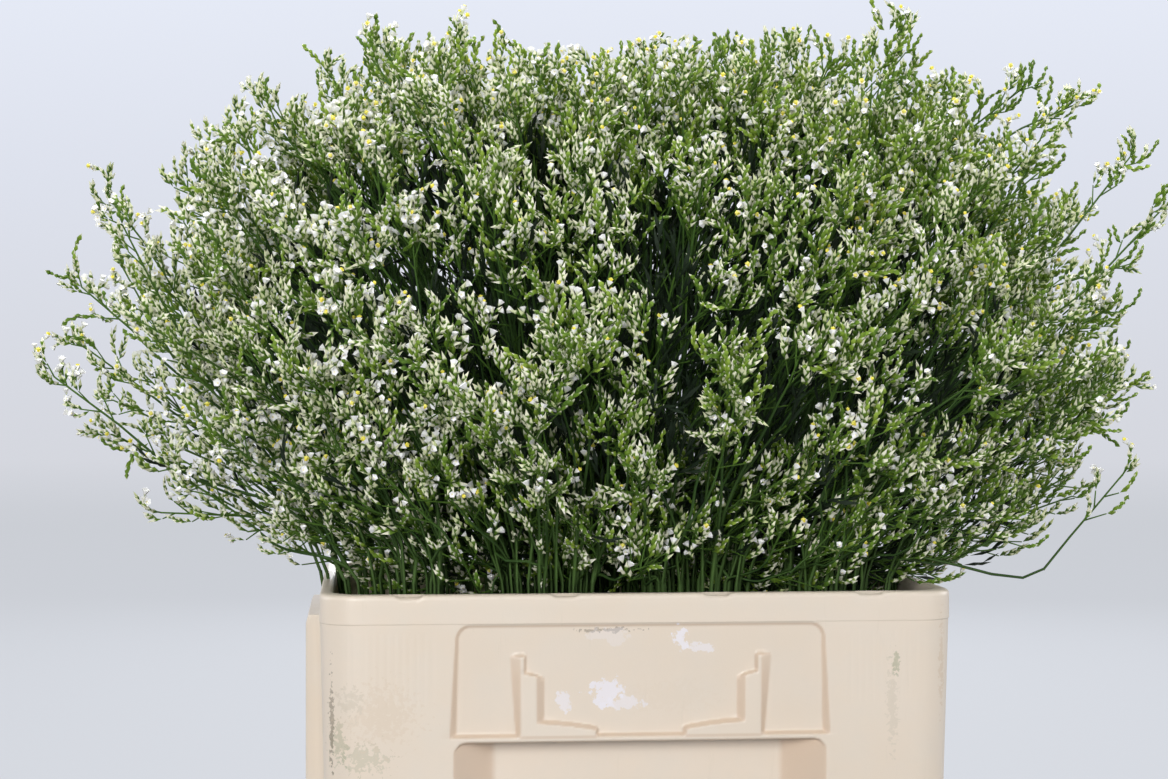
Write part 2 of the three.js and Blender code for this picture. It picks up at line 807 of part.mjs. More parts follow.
const allTufts = tuftPlaces();
places.forEach((place, index) => {
  const tufts = allTufts.filter(({ bunch }) => bunch === index);
  const number = String(index + 1).padStart(2, '0');
  addMesh(`stems_${number}`, oneBody(bundle(place, bundleLevels)), greenStem);
  addMesh(`statice_${number}`, makeHeads(index, tufts), statice);
});

export default object;
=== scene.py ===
# White and yellow statice standing in a cream flower bucket
import json
import math

import bpy
import numpy as np
from mathutils import Euler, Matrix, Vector

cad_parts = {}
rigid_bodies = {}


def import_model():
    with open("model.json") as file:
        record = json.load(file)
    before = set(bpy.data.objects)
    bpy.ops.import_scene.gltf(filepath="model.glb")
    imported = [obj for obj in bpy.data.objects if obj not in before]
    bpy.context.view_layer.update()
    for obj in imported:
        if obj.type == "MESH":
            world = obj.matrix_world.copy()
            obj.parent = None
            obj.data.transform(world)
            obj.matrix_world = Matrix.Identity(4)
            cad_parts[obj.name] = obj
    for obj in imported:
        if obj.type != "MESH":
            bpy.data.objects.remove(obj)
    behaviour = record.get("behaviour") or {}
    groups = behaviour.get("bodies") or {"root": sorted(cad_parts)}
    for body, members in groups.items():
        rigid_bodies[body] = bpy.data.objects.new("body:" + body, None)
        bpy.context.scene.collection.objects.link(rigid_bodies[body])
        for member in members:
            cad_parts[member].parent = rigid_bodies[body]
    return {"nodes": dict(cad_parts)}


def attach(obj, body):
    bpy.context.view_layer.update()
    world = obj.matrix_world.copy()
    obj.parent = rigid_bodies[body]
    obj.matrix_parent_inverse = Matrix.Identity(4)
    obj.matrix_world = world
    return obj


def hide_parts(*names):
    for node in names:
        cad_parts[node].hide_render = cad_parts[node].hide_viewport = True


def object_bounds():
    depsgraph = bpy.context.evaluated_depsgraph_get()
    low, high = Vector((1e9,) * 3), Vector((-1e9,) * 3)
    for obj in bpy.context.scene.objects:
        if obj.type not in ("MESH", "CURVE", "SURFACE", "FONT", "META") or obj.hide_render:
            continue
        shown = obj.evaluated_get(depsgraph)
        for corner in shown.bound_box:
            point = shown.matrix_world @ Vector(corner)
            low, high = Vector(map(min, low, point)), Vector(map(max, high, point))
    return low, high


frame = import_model()
cadLow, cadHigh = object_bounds()
print("frame loaded")


# Colours are given as they look on screen, 0 to 255
def colour(red, green, blue):
    def linear(value):
        share = value / 255
        return share / 12.92 if share <= 0.04045 else ((share + 0.055) / 1.055) ** 2.4
    return (linear(red), linear(green), linear(blue), 1.0)


def unit(vector):
    return vector / max(np.linalg.norm(vector), 1e-9)


# A slope from 0 to 1 that starts and ends with a small round
def softRamp(share, rounding):
    share = np.clip(share, -rounding, 1 + rounding)
    start = (share + rounding) ** 2 / (4 * rounding)
    end = 1 - (1 + rounding - share) ** 2 / (4 * rounding)
    return np.where(share < rounding, start, np.where(share > 1 - rounding, end, share))


# Gives a socket a constant, or a link from another socket
def feed(tree, socket, value):
    if isinstance(value, bpy.types.NodeSocket):
        tree.links.new(value, socket)
    else:
        socket.default_value = value


# A node with its settings, and with its inputs fed by name or number
def addNode(tree, kind, inputs=None, **settings):
    node = tree.nodes.new(kind)
    for name, value in settings.items():
        setattr(node, name, value)
    for name, value in (inputs or {}).items():
        feed(tree, node.inputs[name], value)
    return node


def mathNode(tree, operation, *values, clamp=False):
    inputs = dict(enumerate(values))
    return addNode(tree, "ShaderNodeMath", inputs, operation=operation, use_clamp=clamp).outputs[0]


def mixColour(tree, factor, first, second):
    return addNode(tree, "ShaderNodeMix", {0: factor, 6: first, 7: second}, data_type="RGBA").outputs[2]


def rampNode(tree, factor, stops):
    node = addNode(tree, "ShaderNodeValToRGB", {0: factor})
    ramp = node.color_ramp
    while len(ramp.elements) < len(stops):
        ramp.elements.new(0.5)
    for element, (place, value) in zip(ramp.elements, stops):
        element.position = place
        element.color = value
    return node.outputs[0]


def rangeNode(tree, value, inputs, **settings):
    return addNode(tree, "ShaderNodeMapRange", {"Value": value, **inputs}, **settings).outputs["Result"]


def noiseNode(tree, place, scale, **inputs):
    return addNode(tree, "ShaderNodeTexNoise", {"Vector": place, "Scale": scale, **inputs}).outputs["Fac"]


def objectPlace(tree):
    return addNode(tree, "ShaderNodeTexCoord").outputs["Object"]


def splitPlace(tree, place):
    return addNode(tree, "ShaderNodeSeparateXYZ", {0: place}).outputs


def newMaterial(name, roughness):
    material = bpy.data.materials.new(name)
    material.use_nodes = True
    shader = material.node_tree.nodes["Principled BSDF"]
    shader.inputs["Roughness"].default_value = roughness
    return material, material.node_tree, shader


# A shader group with number and vector inputs, and a mask as its output
def newMaskGroup(name, inputs):
    tree = bpy.data.node_groups.new(name, "ShaderNodeTree")
    for each, value in inputs.items():
        kind = "NodeSocketVector" if isinstance(value, tuple) else "NodeSocketFloat"
        tree.interface.new_socket(name=each, in_out="INPUT", socket_type=kind).default_value = value
    tree.interface.new_socket(name="Mask", in_out="OUTPUT", socket_type="NodeSocketFloat")
    return tree, addNode(tree, "NodeGroupInput").outputs, addNode(tree, "NodeGroupOutput").inputs["Mask"]


# A ragged patch round a place on the surface: torn edges and an uneven middle
def makePatchGroup():
    swing, sharpness = 4.0, 6.0
    tree, given, mask = newMaskGroup("ragged patch", {
        "Centre": (0, 0, 0), "Half Size": (0.02, 1, 0.02), "Raggedness": 0.6, "Grain": 120.0, "Cover": 0.5})
    place = objectPlace(tree)

    def vectorNode(operation, inputs):
        return addNode(tree, "ShaderNodeVectorMath", inputs, operation=operation).outputs

    offset = vectorNode("SUBTRACT", {0: place, 1: given["Centre"]})[0]
    scaled = vectorNode("DIVIDE", {0: offset, 1: given["Half Size"]})[0]
    length = vectorNode("LENGTH", {0: scaled})["Value"]
    noise = noiseNode(tree, place, given["Grain"], Detail=5.0, Roughness=0.65)
    rough = mathNode(tree, "MULTIPLY", mathNode(tree, "SUBTRACT", noise, 0.5), given["Raggedness"])
    edge = mathNode(tree, "ADD", length, mathNode(tree, "MULTIPLY", rough, swing))
    inside = mathNode(tree, "ADD", mathNode(tree, "SUBTRACT", given["Cover"], edge), 0.5)
    feed(tree, mask, mathNode(tree, "MULTIPLY", inside, sharpness, clamp=True))
    return tree


# Soft uneven colour, as plastic and water take on
def makeMottleGroup():
    tree, given, mask = newMaskGroup("mottle", {"Scale": 8.0, "Low": 0.35, "High": 0.65})
    noise = noiseNode(tree, objectPlace(tree), given["Scale"], Detail=6.0)
    feed(tree, mask, rangeNode(tree, noise, {"From Min": given["Low"], "From Max": given["High"]}))
    return tree


patchGroup = makePatchGroup()
mottleGroup = makeMottleGroup()


def useGroup(tree, group, **values):
    inputs = {name.replace("_", " "): value for name, value in values.items()}
    return addNode(tree, "ShaderNodeGroup", inputs, node_tree=group).outputs["Mask"]


# Bucket, in metres. A draft or slope is how far a wall leans. Stretches are start, end and step.
bucket = {
    "rimLength": 0.390, "rimWidth": 0.290, "height": 0.330, "rimBand": 0.0181, "rimStep": 0.0004,
    "rimWall": 0.008, "wall": 0.004, "taper": 0.0075, "outerCorner": 0.022, "innerCorner": 0.026,
    "edge": 0.003,
    "panelHalf": 0.1125, "panelFlare": 0.0040, "panelTop": 0.3119, "panelBottom": 0.243,
    "panelDepth": (0.0015, 0.004), "panelCorner": 0.009, "panelRunOn": 0.020, "panelFoot": 2.5,
    "panelDraft": 0.0018, "panelRound": 0.12,
    "holderHalf": 0.0735, "holderTop": 0.292, "holderStep": 0.2815, "holderPost": 0.012,
    "holderTab": 0.0020, "holderFoot": 0.0085, "holderGap": 0.0275, "holderProud": 0.0004,
    "holderOuterSlope": (0.0026, 0.0040), "holderInnerSlope": (0.0046, 0.0006), "holderSteep": 0.0011,
    "holderCurve": 0.0028, "footFall": 0.0045, "footSlope": (0.0016, 0.0020), "holderRound": 0.07,
    "bayHalf": 0.114, "bayTop": 0.240, "bayBottom": 0.045, "bayDepth": 0.020,
    "bayDraft": (0.025, 0.002, 0.013), "bayCorner": 0.008, "bayLip": 0.001, "bayRound": 0.06,
    "padHalf": 0.078, "padTop": 0.327, "padBottom": 0.050, "padReach": 0.0095,
    "padDraft": (0.00475, 0.019, 0.0095), "padCorner": 0.010, "padRound": 0.15,
    "scallops": (-0.141, -0.047, 0.047, 0.141), "scallopHalf": 0.0083, "scallopDepth": 0.0016,
    "scallopReach": 0.0040, "scallopFoot": 0.318, "scallopRise": 0.010, "scallopPower": 10,
    # where and how strongly the relief's slopes and hollows get painted shade
    "slopeShadeGain": 1.8, "slopeShadeAcross": 0.150, "slopeShadeOut": 0.110, "slopeShadeUp": (0.01, 0.311),
    "cornerSteps": 7,
    "frontStretches": [(0, 0.020, 0.010), (0.020, 0.032, 0.0011), (0.032, 0.0555, 0.0025),
                       (0.0555, 0.0810, 0.0010), (0.0810, 0.087, 0.0020), (0.087, 0.105, 0.0036),
                       (0.105, 0.117, 0.0008), (0.117, 0.131, 0.007), (0.131, 0.151, 0.0018),
                       (0.151, 0.173, 0.011)],
    "sideStretches": [(0, 0.070, 0.010), (0.070, 0.080, 0.002), (0.080, 0.123, 0.009)],
    # places up to the first number stay, and those from there to the second spread to the corner
    "spread": [(0.117, 0.173), (0.080, 0.123)],
    "outerStretches": [(0.003, 0.042, 0.008), (0.042, 0.062, 0.0025), (0.062, 0.222, 0.011),
                       (0.222, 0.2325, 0.0025), (0.2325, 0.2535, 0.0009), (0.2535, 0.2785, 0.0025),
                       (0.2785, 0.2935, 0.0011), (0.2935, 0.3005, 0.0018), (0.3005, 0.3105, 0.0010)],
    "innerStretches": [(0.004, 0.044, 0.010), (0.044, 0.224, 0.020), (0.224, 0.232, 0.004),
                       (0.232, 0.252, 0.002), (0.252, 0.3125, 0.006)],
    # rings of the rim band and over its edge: how far in, and how high
    "rim": [(0.0, 0.3155), (0.0, 0.319), (0.0, 0.323), (0.0, 0.3265), (0.0001, 0.3280), (0.0005, 0.3291),
            (0.0014, 0.3298), (0.0030, 0.33), (0.0039, 0.33), (0.0042, 0.33), (0.0060, 0.33),
            (0.0072, 0.3296), (0.0079, 0.3286)],
    "rimInside": (0.3265, 0.3205),
}


# How far a point lies inside an upright rounded rectangle, below zero outside
def insideBox(across, up, half, bottom, top, corner):
    middle, rise = (top + bottom) / 2, (top - bottom) / 2
    a = np.abs(across) - (half - corner)
    b = np.abs(up - middle) - (rise - corner)
    outside = np.hypot(np.maximum(a, 0), np.maximum(b, 0))
    return corner - outside - np.minimum(np.maximum(a, b), 0)


# Relief of the front and back faces, inwards: the card panel, its holder and the bay below
def faceDepth(across, up):
    b = bucket
    along = np.abs(across)
    top, bottom = b["panelTop"], b["panelBottom"]
    fall = np.clip((top - up) / (top - bottom), 0, 1)
    deep = b["panelDepth"][0] + (b["panelDepth"][1] - b["panelDepth"][0]) * fall
    # the panel's lower corners are square, so its box runs on below and is cut off by a steeper wall
    half = b["panelHalf"] + b["panelFlare"] * fall
    inPanel = np.minimum(insideBox(across, up, half, bottom - b["panelRunOn"], top, b["panelCorner"]),
                         b["panelFoot"] * (up - bottom))
    depth = deep * softRamp(inPanel / np.maximum(deep, b["panelDraft"]), b["panelRound"])
    # holder: an upright plate with a narrow tab on top and a foot that runs inwards. Its sides are
    # drafted, its top edges steep.
    outer, post, steep = b["holderHalf"], b["holderHalf"] - b["holderPost"], b["holderSteep"]
    rise = np.clip((up - bottom) / (b["holderTop"] - bottom), 0, 1)
    outerSlope = b["holderOuterSlope"][0] + rise * b["holderOuterSlope"][1]
    innerSlope = b["holderInnerSlope"][0] + rise * b["holderInnerSlope"][1]

    def away(inner, highest, inwards, upwards):
        sideways = np.maximum((inner - along) / inwards, (along - outer) / outerSlope)
        return np.hypot(np.maximum(sideways, 0), np.maximum((up - highest) / upwards, 0))

    curve = b["holderCurve"] * np.clip((outer - along) / b["holderPost"], 0, 1) ** 2
    footFall = b["footFall"] * np.clip((outer - along) / (outer - b["holderGap"]), 0, 1) ** 2
    plate = away(post + innerSlope * 0.5, b["holderStep"] - curve, innerSlope, steep)
    tab = away(outer - b["holderTab"], b["holderTop"], steep, steep)
    foot = away(b["holderGap"], bottom + b["holderFoot"] - footFall, *b["footSlope"])
    outside = softRamp(np.minimum(np.minimum(plate, tab), foot), b["holderRound"])
    depth = depth * outside - b["holderProud"] * (1 - outside) * (inPanel > 0)
    # bay: drafted walls, steep at the top and long at the sides
    side, ceiling, ledge = b["bayDraft"]
    reach = insideBox(across, up, b["bayHalf"], b["bayBottom"], b["bayTop"], b["bayCorner"])
    share = np.minimum(reach / ceiling,
                       np.minimum((b["bayHalf"] - along) / side, (up - b["bayBottom"]) / ledge))
    return np.where(reach > -b["bayLip"], b["bayDepth"] * softRamp(share, b["bayRound"]), depth)


# How steep the relief is at a point: it sets how much painted shade, a darker warm tone, lies on the
# bucket's slopes and in its hollows
def slopeShadeAmount(across, up):
    small = 0.0005
    sideways = faceDepth(across + small, up) - faceDepth(across - small, up)
    upright = faceDepth(across, up + small) - faceDepth(across, up - small)
    return np.clip(bucket["slopeShadeGain"] * np.hypot(sideways, upright) / (2 * small), 0, 1)


# Grip pad of a short side, as a share from the wall out to the pad's face
def padShare(across, up):
    b = bucket
    side, top, bottom = b["padDraft"]
    reach = insideBox(across, up, b["padHalf"], b["padBottom"], b["padTop"], b["padCorner"])
    share = np.minimum(reach / side, np.minimum((b["padTop"] - up) / top, (up - b["padBottom"]) / bottom))
    return softRamp(share, b["padRound"])


# Places along a line, closer together where the relief has edges
def spacedPlaces(stretches):
    places = [stretches[0][0]]
    for start, end, step in stretches:
        count = max(1, round((end - start) / step))
        places.extend(start + (end - start) * (k + 1) / count for k in range(count))
    return np.array(places)


def ringPlaces():
    halves = [spacedPlaces(bucket[name]) for name in ("frontStretches", "sideStretches")]
    front, side = [np.concatenate([-half[:0:-1], half]) for half in halves]
    steps = bucket["cornerSteps"]
    ring = []
    for quarter, places in enumerate([front, side, -front, -side]):
        ring.extend(("face", quarter, place) for place in places)
        ring.extend(("corner", quarter, k / steps) for k in range(1, steps))
    return ring


# Ring of points round the bucket at one height, with the relief of its outer wall, or of its inner wall
# where a thickness is given
def ringPoints(ring, halfLength, halfWidth, corner, height, relief, thickness=0.0):
    b = bucket
    points = np.zeros((len(ring), 3))
    straights = (halfLength - corner, halfWidth - corner)
    for index, (kind, quarter, value) in enumerate(ring):
        if kind == "corner":
            turn = math.pi / 2 * (quarter - 1 + value)
            sx, sy = [(1, -1), (1, 1), (-1, 1), (-1, -1)][quarter]
            points[index] = (sx * straights[0] + corner * math.cos(turn),
                             sy * straights[1] + corner * math.sin(turn), height)
            continue
        isSide = quarter % 2
        stay, end = b["spread"][isSide]
        place = value
        if abs(value) > stay:
            place = stay + (abs(value) - stay) * (straights[isSide] - stay) / (end - stay)
            place = math.copysign(place, value)
        sign = -1 if quarter in (0, 3) else 1
        points[index] = (sign * halfLength, place, height) if isSide else (place, sign * halfWidth, height)
    if relief:
        onFront, onSide = [np.array([kind == "face" and quarter % 2 == which for kind, quarter, _ in ring])
                           for which in (0, 1)]
        depth = faceDepth(points[:, 0], np.full(len(ring), height))
        for across, up in [(-thickness, 0), (thickness, 0), (0, -thickness), (0, thickness)]:
            # the inner side keeps a whole wall from every slope of the outer side
            depth = np.maximum(depth, faceDepth(points[:, 0] + across, np.full(len(ring), height + up)))
        points[:, 1] -= np.where(onFront, np.sign(points[:, 1]) * depth, 0)
        if not thickness:
            share = padShare(points[:, 1], np.full(len(ring), height))
            face = b["rimLength"] / 2 + b["padReach"]
            out = np.abs(points[:, 0]) + (face - np.abs(points[:, 0])) * share
            points[:, 0] = np.where(onSide, np.sign(points[:, 0]) * out, points[:, 0])
    return points


# Half length and half width of the wall, which leans in towards the floor
def wallSize(height):
    b = bucket
    shoulder = b["height"] - b["rimBand"]
    lean = b["rimStep"] + b["taper"] * (1 - min(height, shoulder) / shoulder)
    return b["rimLength"] / 2 - lean, b["rimWidth"] / 2 - lean


# Pockets along the outer half of the rim's upper edge
def scalloped(points, height, inset):
    b = bucket
    weight = np.clip((height - b["scallopFoot"]) / b["scallopRise"], 0, 1) * (inset < b["scallopReach"])
    for middle in b["scallops"]:
        away = np.clip(1 - ((points[:, 0] - middle) / b["scallopHalf"]) ** b["scallopPower"], 0, 1)
        onFace = np.abs(points[:, 1]) > b["rimWidth"] / 2 - 2 * b["rimWall"]
        points[:, 2] -= b["scallopDepth"] * away * weight * onFace
    return points


# Rings from the underside up the outer wall, over the rim and down the inner wall
def bucketRings():
    b = bucket
    ring = ringPlaces()
    rings = []

    def addRing(size, inset, corner, height, relief=False, thickness=0.0):
        rings.append(ringPoints(ring, size[0] - inset, size[1] - inset, corner, height, relief, thickness))

    edge, outer, wall = b["edge"], b["outerCorner"], b["wall"]
    for share in (0, 0.5, 1):
        turn = share * math.pi / 2
        inset = edge * (1 - math.sin(turn))
        addRing(wallSize(0), inset, outer - inset, edge * (1 - math.cos(turn)))
    for height in spacedPlaces(b["outerStretches"])[1:]:
        addRing(wallSize(height), 0, outer, height, True)
    shoulder = b["height"] - b["rimBand"]
    step = b["rimStep"]
    rimSize = (b["rimLength"] / 2, b["rimWidth"] / 2)
    for drop in (step, 0.0):
        addRing(wallSize(shoulder), 0, outer, shoulder - drop, True)
    for rise in (step, 2 * step):
        addRing(rimSize, 0, outer, shoulder + rise)
    for inset, height in b["rim"]:
        addRing(rimSize, inset, outer + (b["innerCorner"] - outer) * inset / b["rimWall"], height)
        scalloped(rings[-1], height, inset)
    for height in b["rimInside"]:
        addRing(rimSize, b["rimWall"], b["innerCorner"], height)
    outerCount = len(rings)
    for height in spacedPlaces(b["innerStretches"])[::-1]:
        addRing(wallSize(height), wall, outer - wall, height, True, wall)
    return rings, outerCount


def makeBucket():
    b = bucket
    rings, outerCount = bucketRings()
    count = len(rings[0])
    points = np.concatenate(rings)
    faces = []
    for level in range(len(rings) - 1):
        for k in range(count):
            first, second = level * count + k, level * count + (k + 1) % count
            faces.append((first, second, second + count, first + count))
    faces.append(tuple(range(count))[::-1])
    last = (len(rings) - 1) * count
    faces.append(tuple(range(last, last + count)))
    mesh = bpy.data.meshes.new("bucketShell")
    mesh.from_pydata(points.tolist(), [], faces)
    mesh.shade_smooth()
    for index in (len(faces) - 2, len(faces) - 1):
        mesh.polygons[index].use_smooth = False
    # painted shade: a point attribute for how much darker warm tone the front and back faces get on their
    # slopes and in their hollows
    low, high = b["slopeShadeUp"]
    onFace = (np.abs(points[:, 1]) > b["slopeShadeOut"]) & (np.abs(points[:, 0]) < b["slopeShadeAcross"])
    onFace &= (points[:, 2] > low) & (points[:, 2] < high) & (np.arange(len(points)) < outerCount * count)
    fold = np.where(onFace, slopeShadeAmount(points[:, 0], points[:, 2]), 0)
    layer = mesh.attributes.new("fold", "FLOAT", "POINT")
    layer.data.foreach_set("value", fold.astype(np.float32))
    piece = bpy.data.objects.new("bucketShell", mesh)
    bpy.context.scene.collection.objects.link(piece)
    return piece


bucketFinish = {
    "plain": colour(234, 220, 203), "warm": colour(230, 214, 194), "grey": colour(224, 214, 200),
    # painted shade: the first tone of the next line darkens the relief's slopes and hollows
    "fold": colour(214, 182, 152), "paper": colour(242, 238, 244), "dirt": colour(160, 164, 132),
    "dark": colour(104, 90, 70), "rubbed": colour(216, 204, 186), "sand": colour(222, 203, 180),
    "greyShare": 0.35, "slopeShadeShare": 0.46, "scratchShare": 0.30, "scratchFrom": 0.66, "scratchGain": 7.0,
    "scratchTurn": (0.0, 0.5, 0.2), "scratchScale": (260.0, 40.0, 22.0), "roughness": (0.34, 0.50),
    "ribStep": 0.0045, "ribAcross": (0.126, 0.178), "ribUp": (0.262, 0.307), "grainScale": 900.0,
    "ribHeight": 0.32, "scratchHeight": -0.4, "grainHeight": 0.25, "bump": 0.35, "bumpDepth": 0.0004,
    "patchPlane": -0.143, "patchDepth": 0.05,
    "dirtEdge": {"Raggedness": 1.25, "Grain": 320.0, "Cover": 0.30},
    "paperEdge": {"Raggedness": 1.0, "Grain": 150.0, "Cover": 0.50},
}
# Rubbed and soiled places, then torn remains of paper: middle and half size, each across and up, tone
# and strength
patches = [
    (-0.168, 0.231, 0.015, 0.010, "dirt", 0.30),
    (-0.183, 0.240, 0.006, 0.014, "dirt", 0.40),
    (-0.1875, 0.252, 0.0016, 0.030, "dark", 0.55),
    (-0.158, 0.258, 0.024, 0.020, "sand", 0.38),
    (-0.176, 0.266, 0.008, 0.010, "rubbed", 0.60),
    (0.155, 0.262, 0.0040, 0.030, "rubbed", 0.60),
    (0.157, 0.286, 0.0030, 0.008, "dirt", 0.50),
    (0.187, 0.285, 0.0022, 0.028, "sand", 0.75),
    (-0.020, 0.3078, 0.0180, 0.0016, "dark", 0.50),
    (0.020, 0.2670, 0.0300, 0.0100, "sand", 0.12),
    (-0.048, 0.2645, 0.0045, 0.0075, "paper", 0.65),
    (-0.022, 0.2700, 0.0090, 0.0085, "paper", 0.85),
    (-0.010, 0.2630, 0.0110, 0.0045, "paper", 0.60),
    (0.023, 0.3020, 0.0050, 0.0060, "paper", 0.85),
    (0.038, 0.2965, 0.0070, 0.0030, "paper", 0.60),
    (-0.020, 0.3045, 0.0150, 0.0045, "paper", 0.25),
]


def makeBucketFinish():
    material, tree, shader = newMaterial("creamPlastic", 0.45)
    look = bucketFinish

    def times(first, second, clamp=False):
        return mathNode(tree, "MULTIPLY", first, second, clamp=clamp)

    def layOver(base, mask, strength, tone):
        return mixColour(tree, times(mask, strength), base, look[tone])

    def within(value, low, high):
        return times(mathNode(tree, "GREATER_THAN", value, low), mathNode(tree, "LESS_THAN", value, high))

    broad = useGroup(tree, mottleGroup, Scale=5.0, Low=0.35, High=0.65)
    fine = useGroup(tree, mottleGroup, Scale=42.0, Low=0.42, High=0.70)
    base = mixColour(tree, broad, look["plain"], look["warm"])
    base = layOver(base, fine, look["greyShare"], "grey")
    # painted shade, darker and warm, on the relief's slopes and in its hollows
    slopeShadeMask = addNode(tree, "ShaderNodeAttribute", attribute_name="fold").outputs["Fac"]
    base = layOver(base, slopeShadeMask, look["slopeShadeShare"], "fold")
    for across, up, halfAcross, halfUp, tone, strength in patches:
        edge = look["paperEdge"] if tone == "paper" else look["dirtEdge"]
        mask = useGroup(tree, patchGroup, Centre=(across, look["patchPlane"], up),
                        Half_Size=(halfAcross, look["patchDepth"], halfUp), **edge)
        base = layOver(base, mask, strength, tone)
    # fine scratches: a stretched noise, kept to its brightest lines
    place = objectPlace(tree)
    stretch = addNode(tree, "ShaderNodeMapping", {"Vector": place, "Rotation": look["scratchTurn"],
                                                  "Scale": look["scratchScale"]})
    lines = noiseNode(tree, stretch.outputs["Vector"], 1.0, Detail=3.0)
    scratch = times(mathNode(tree, "SUBTRACT", lines, look["scratchFrom"]), look["scratchGain"], True)
    feed(tree, shader.inputs["Base Color"], layOver(base, scratch, look["scratchShare"], "rubbed"))
    low, high = look["roughness"]
    feed(tree, shader.inputs["Roughness"], rangeNode(tree, fine, {"To Min": low, "To Max": high}))
    # moulded ribs beside the panel, near the top of the long faces
    parts = splitPlace(tree, place)
    wave = mathNode(tree, "SINE", times(parts["X"], 2 * math.pi / look["ribStep"]))
    band = within(mathNode(tree, "ABSOLUTE", parts["X"]), *look["ribAcross"])
    ribs = times(wave, times(band, within(parts["Z"], *look["ribUp"])))
    height = mathNode(tree, "ADD", times(ribs, look["ribHeight"]), times(scratch, look["scratchHeight"]))
    grain = noiseNode(tree, place, look["grainScale"])
    height = mathNode(tree, "ADD", height, times(grain, look["grainHeight"]))
    bump = addNode(tree, "ShaderNodeBump", {"Height": height, "Strength": look["bump"],
                                            "Distance": look["bumpDepth"]})
    feed(tree, shader.inputs["Normal"], bump.outputs["Normal"])
    return material


bucketPiece = makeBucket()
bucketPiece.data.materials.append(makeBucketFinish())
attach(bucketPiece, "root")
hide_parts("bucket")
print("bucket made:", len(bucketPiece.data.polygons), "faces")


# The water's solid stays, with a clear finish
def makeWaterFinish():
    material, tree, shader = newMaterial("clearWater", 0.04)
    shader.inputs["IOR"].default_value = 1.33
    shader.inputs["Transmission Weight"].default_value = 0.85
    tone = useGroup(tree, mottleGroup, Scale=6.0, Low=0.3, High=0.7)
    base = mixColour(tree, tone, colour(214, 226, 208), colour(190, 208, 184))
    feed(tree, shader.inputs["Base Color"], base)
    return material


waterFinish = makeWaterFinish()
for slot in frame["nodes"]["water"].material_slots:
    slot.material = waterFinish
print("water finished")


# Statice: lanes across the UV map say what a floret's part is, and its height how far out it is
lanes = {"stem": 0.02, "stemMiddle": 0.05, "bract": 0.24, "calyx": 0.54, "corolla": 0.83, "width": 0.12,
         "shade": 0.14, "margin": 0.01}

staticeFinish = {
    # the foot tone darkens each bud's base: partly the bud's own green, partly painted shade
    "roughness": 0.62, "specular": 0.18, "foot": colour(56, 86, 32), "footGain": 1.4, "tipFrom": 0.40,
    "tipTo": 0.58,
    # Stem greens by how far out a point lies along the bunch. Their dark and light are painted shade and
    # light: nearly black deep in the bucket and on the leaf-like inner spikes, lighter where the stems leave
    # the rim, darker among the stalks inside the crown and lighter at the tips.
    "stem": [(0.0, colour(20, 31, 18)), (0.09, colour(28, 43, 24)), (0.17, colour(76, 104, 50)),
             (0.5, colour(50, 78, 34)), (1.0, colour(82, 116, 42))],
    "bract": [(0.0, colour(62, 94, 26)), (0.35, colour(88, 122, 34)), (0.7, colour(120, 152, 46)),
              (1.0, colour(168, 194, 72))],
    "tip": [(0.0, colour(192, 206, 132)), (0.35, colour(234, 234, 204)), (1.0, colour(252, 250, 238))],
    "calyx": [(0.0, colour(130, 156, 78)), (0.16, colour(206, 212, 176)), (0.36, colour(246, 246, 244)),
              (0.84, colour(252, 252, 252)), (0.95, colour(236, 228, 186)), (1.0, colour(206, 188, 110))],
    "corolla": [(0.0, colour(226, 204, 52)), (0.5, colour(248, 234, 74)), (1.0, colour(252, 244, 130))],
}


def makeStaticeFinish():
    look = staticeFinish
    material, tree, shader = newMaterial("staticeFlorets", look["roughness"])
    shader.inputs["Specular IOR Level"].default_value = look["specular"]
    parts = splitPlace(tree, addNode(tree, "ShaderNodeUVMap", uv_map="OFBake").outputs["UV"])
    across, out = parts["X"], parts["Y"]
    lane = rangeNode(tree, across, {"From Min": lanes["bract"],
                                    "From Max": lanes["bract"] + lanes["shade"] + lanes["width"]})
    # each bud darkens towards its foot: its own green base, with painted shade where the buds crowd together
    foot = mathNode(tree, "MULTIPLY", mathNode(tree, "SUBTRACT", 0.5, out, clamp=True), look["footGain"])
    shaded = mixColour(tree, foot, rampNode(tree, lane, look["bract"]), look["foot"])
    tipShare = rangeNode(tree, out, {"From Min": look["tipFrom"], "From Max": look["tipTo"]},
                         interpolation_type="SMOOTHSTEP")
    bract = mixColour(tree, tipShare, shaded, rampNode(tree, lane, look["tip"]))
    result = rampNode(tree, out, look["stem"])
    for name, tone in [("bract", bract), ("calyx", rampNode(tree, out, look["calyx"])),
                       ("corolla", rampNode(tree, out, look["corolla"]))]:
        past = mathNode(tree, "GREATER_THAN", across, lanes[name] - lanes["margin"])
        result = mixColour(tree, past, result, tone)
    feed(tree, shader.inputs["Base Color"], result)
    return material


# One spike of florets, in metres: its own length and bend, and the buds and open flowers along it
spike = {
    "length": 0.0110, "bend": 0.9, "budLength": 0.0076, "budRadius": 0.00118, "spread": 0.36,
    "calyxLength": 0.0040, "calyxRadius": 0.0019, "calyxFoot": 0.12, "calyxThroat": 0.62,
    "calyxMouth": 0.95, "calyxLift": 0.0012, "calyxLobes": 5, "calyxRows": (0.15, -0.95, 0.95, -0.35, 0.5),
    "corollaLength": 0.0032, "corollaRadius": 0.0013, "corollaSides": 4, "corollaWaist": 0.75,
}
# How buds differ from the plain ones: those that are still green, and the leaf-like ones for the crown's
# inside, whose dark green is painted shade
plainBud = {"spread": 1.0, "long": 1.0, "fat": 1.0, "rise": 1.0, "lane": (0, 0.8)}
greenBud = {"spread": 0.75, "long": 0.8, "fat": 1.15, "rise": 0.62, "lane": (0.5, 1.0)}
shadedLeafy = {"long": 2.2, "fat": 0.85, "rise": 0.10, "lane": 0.05}


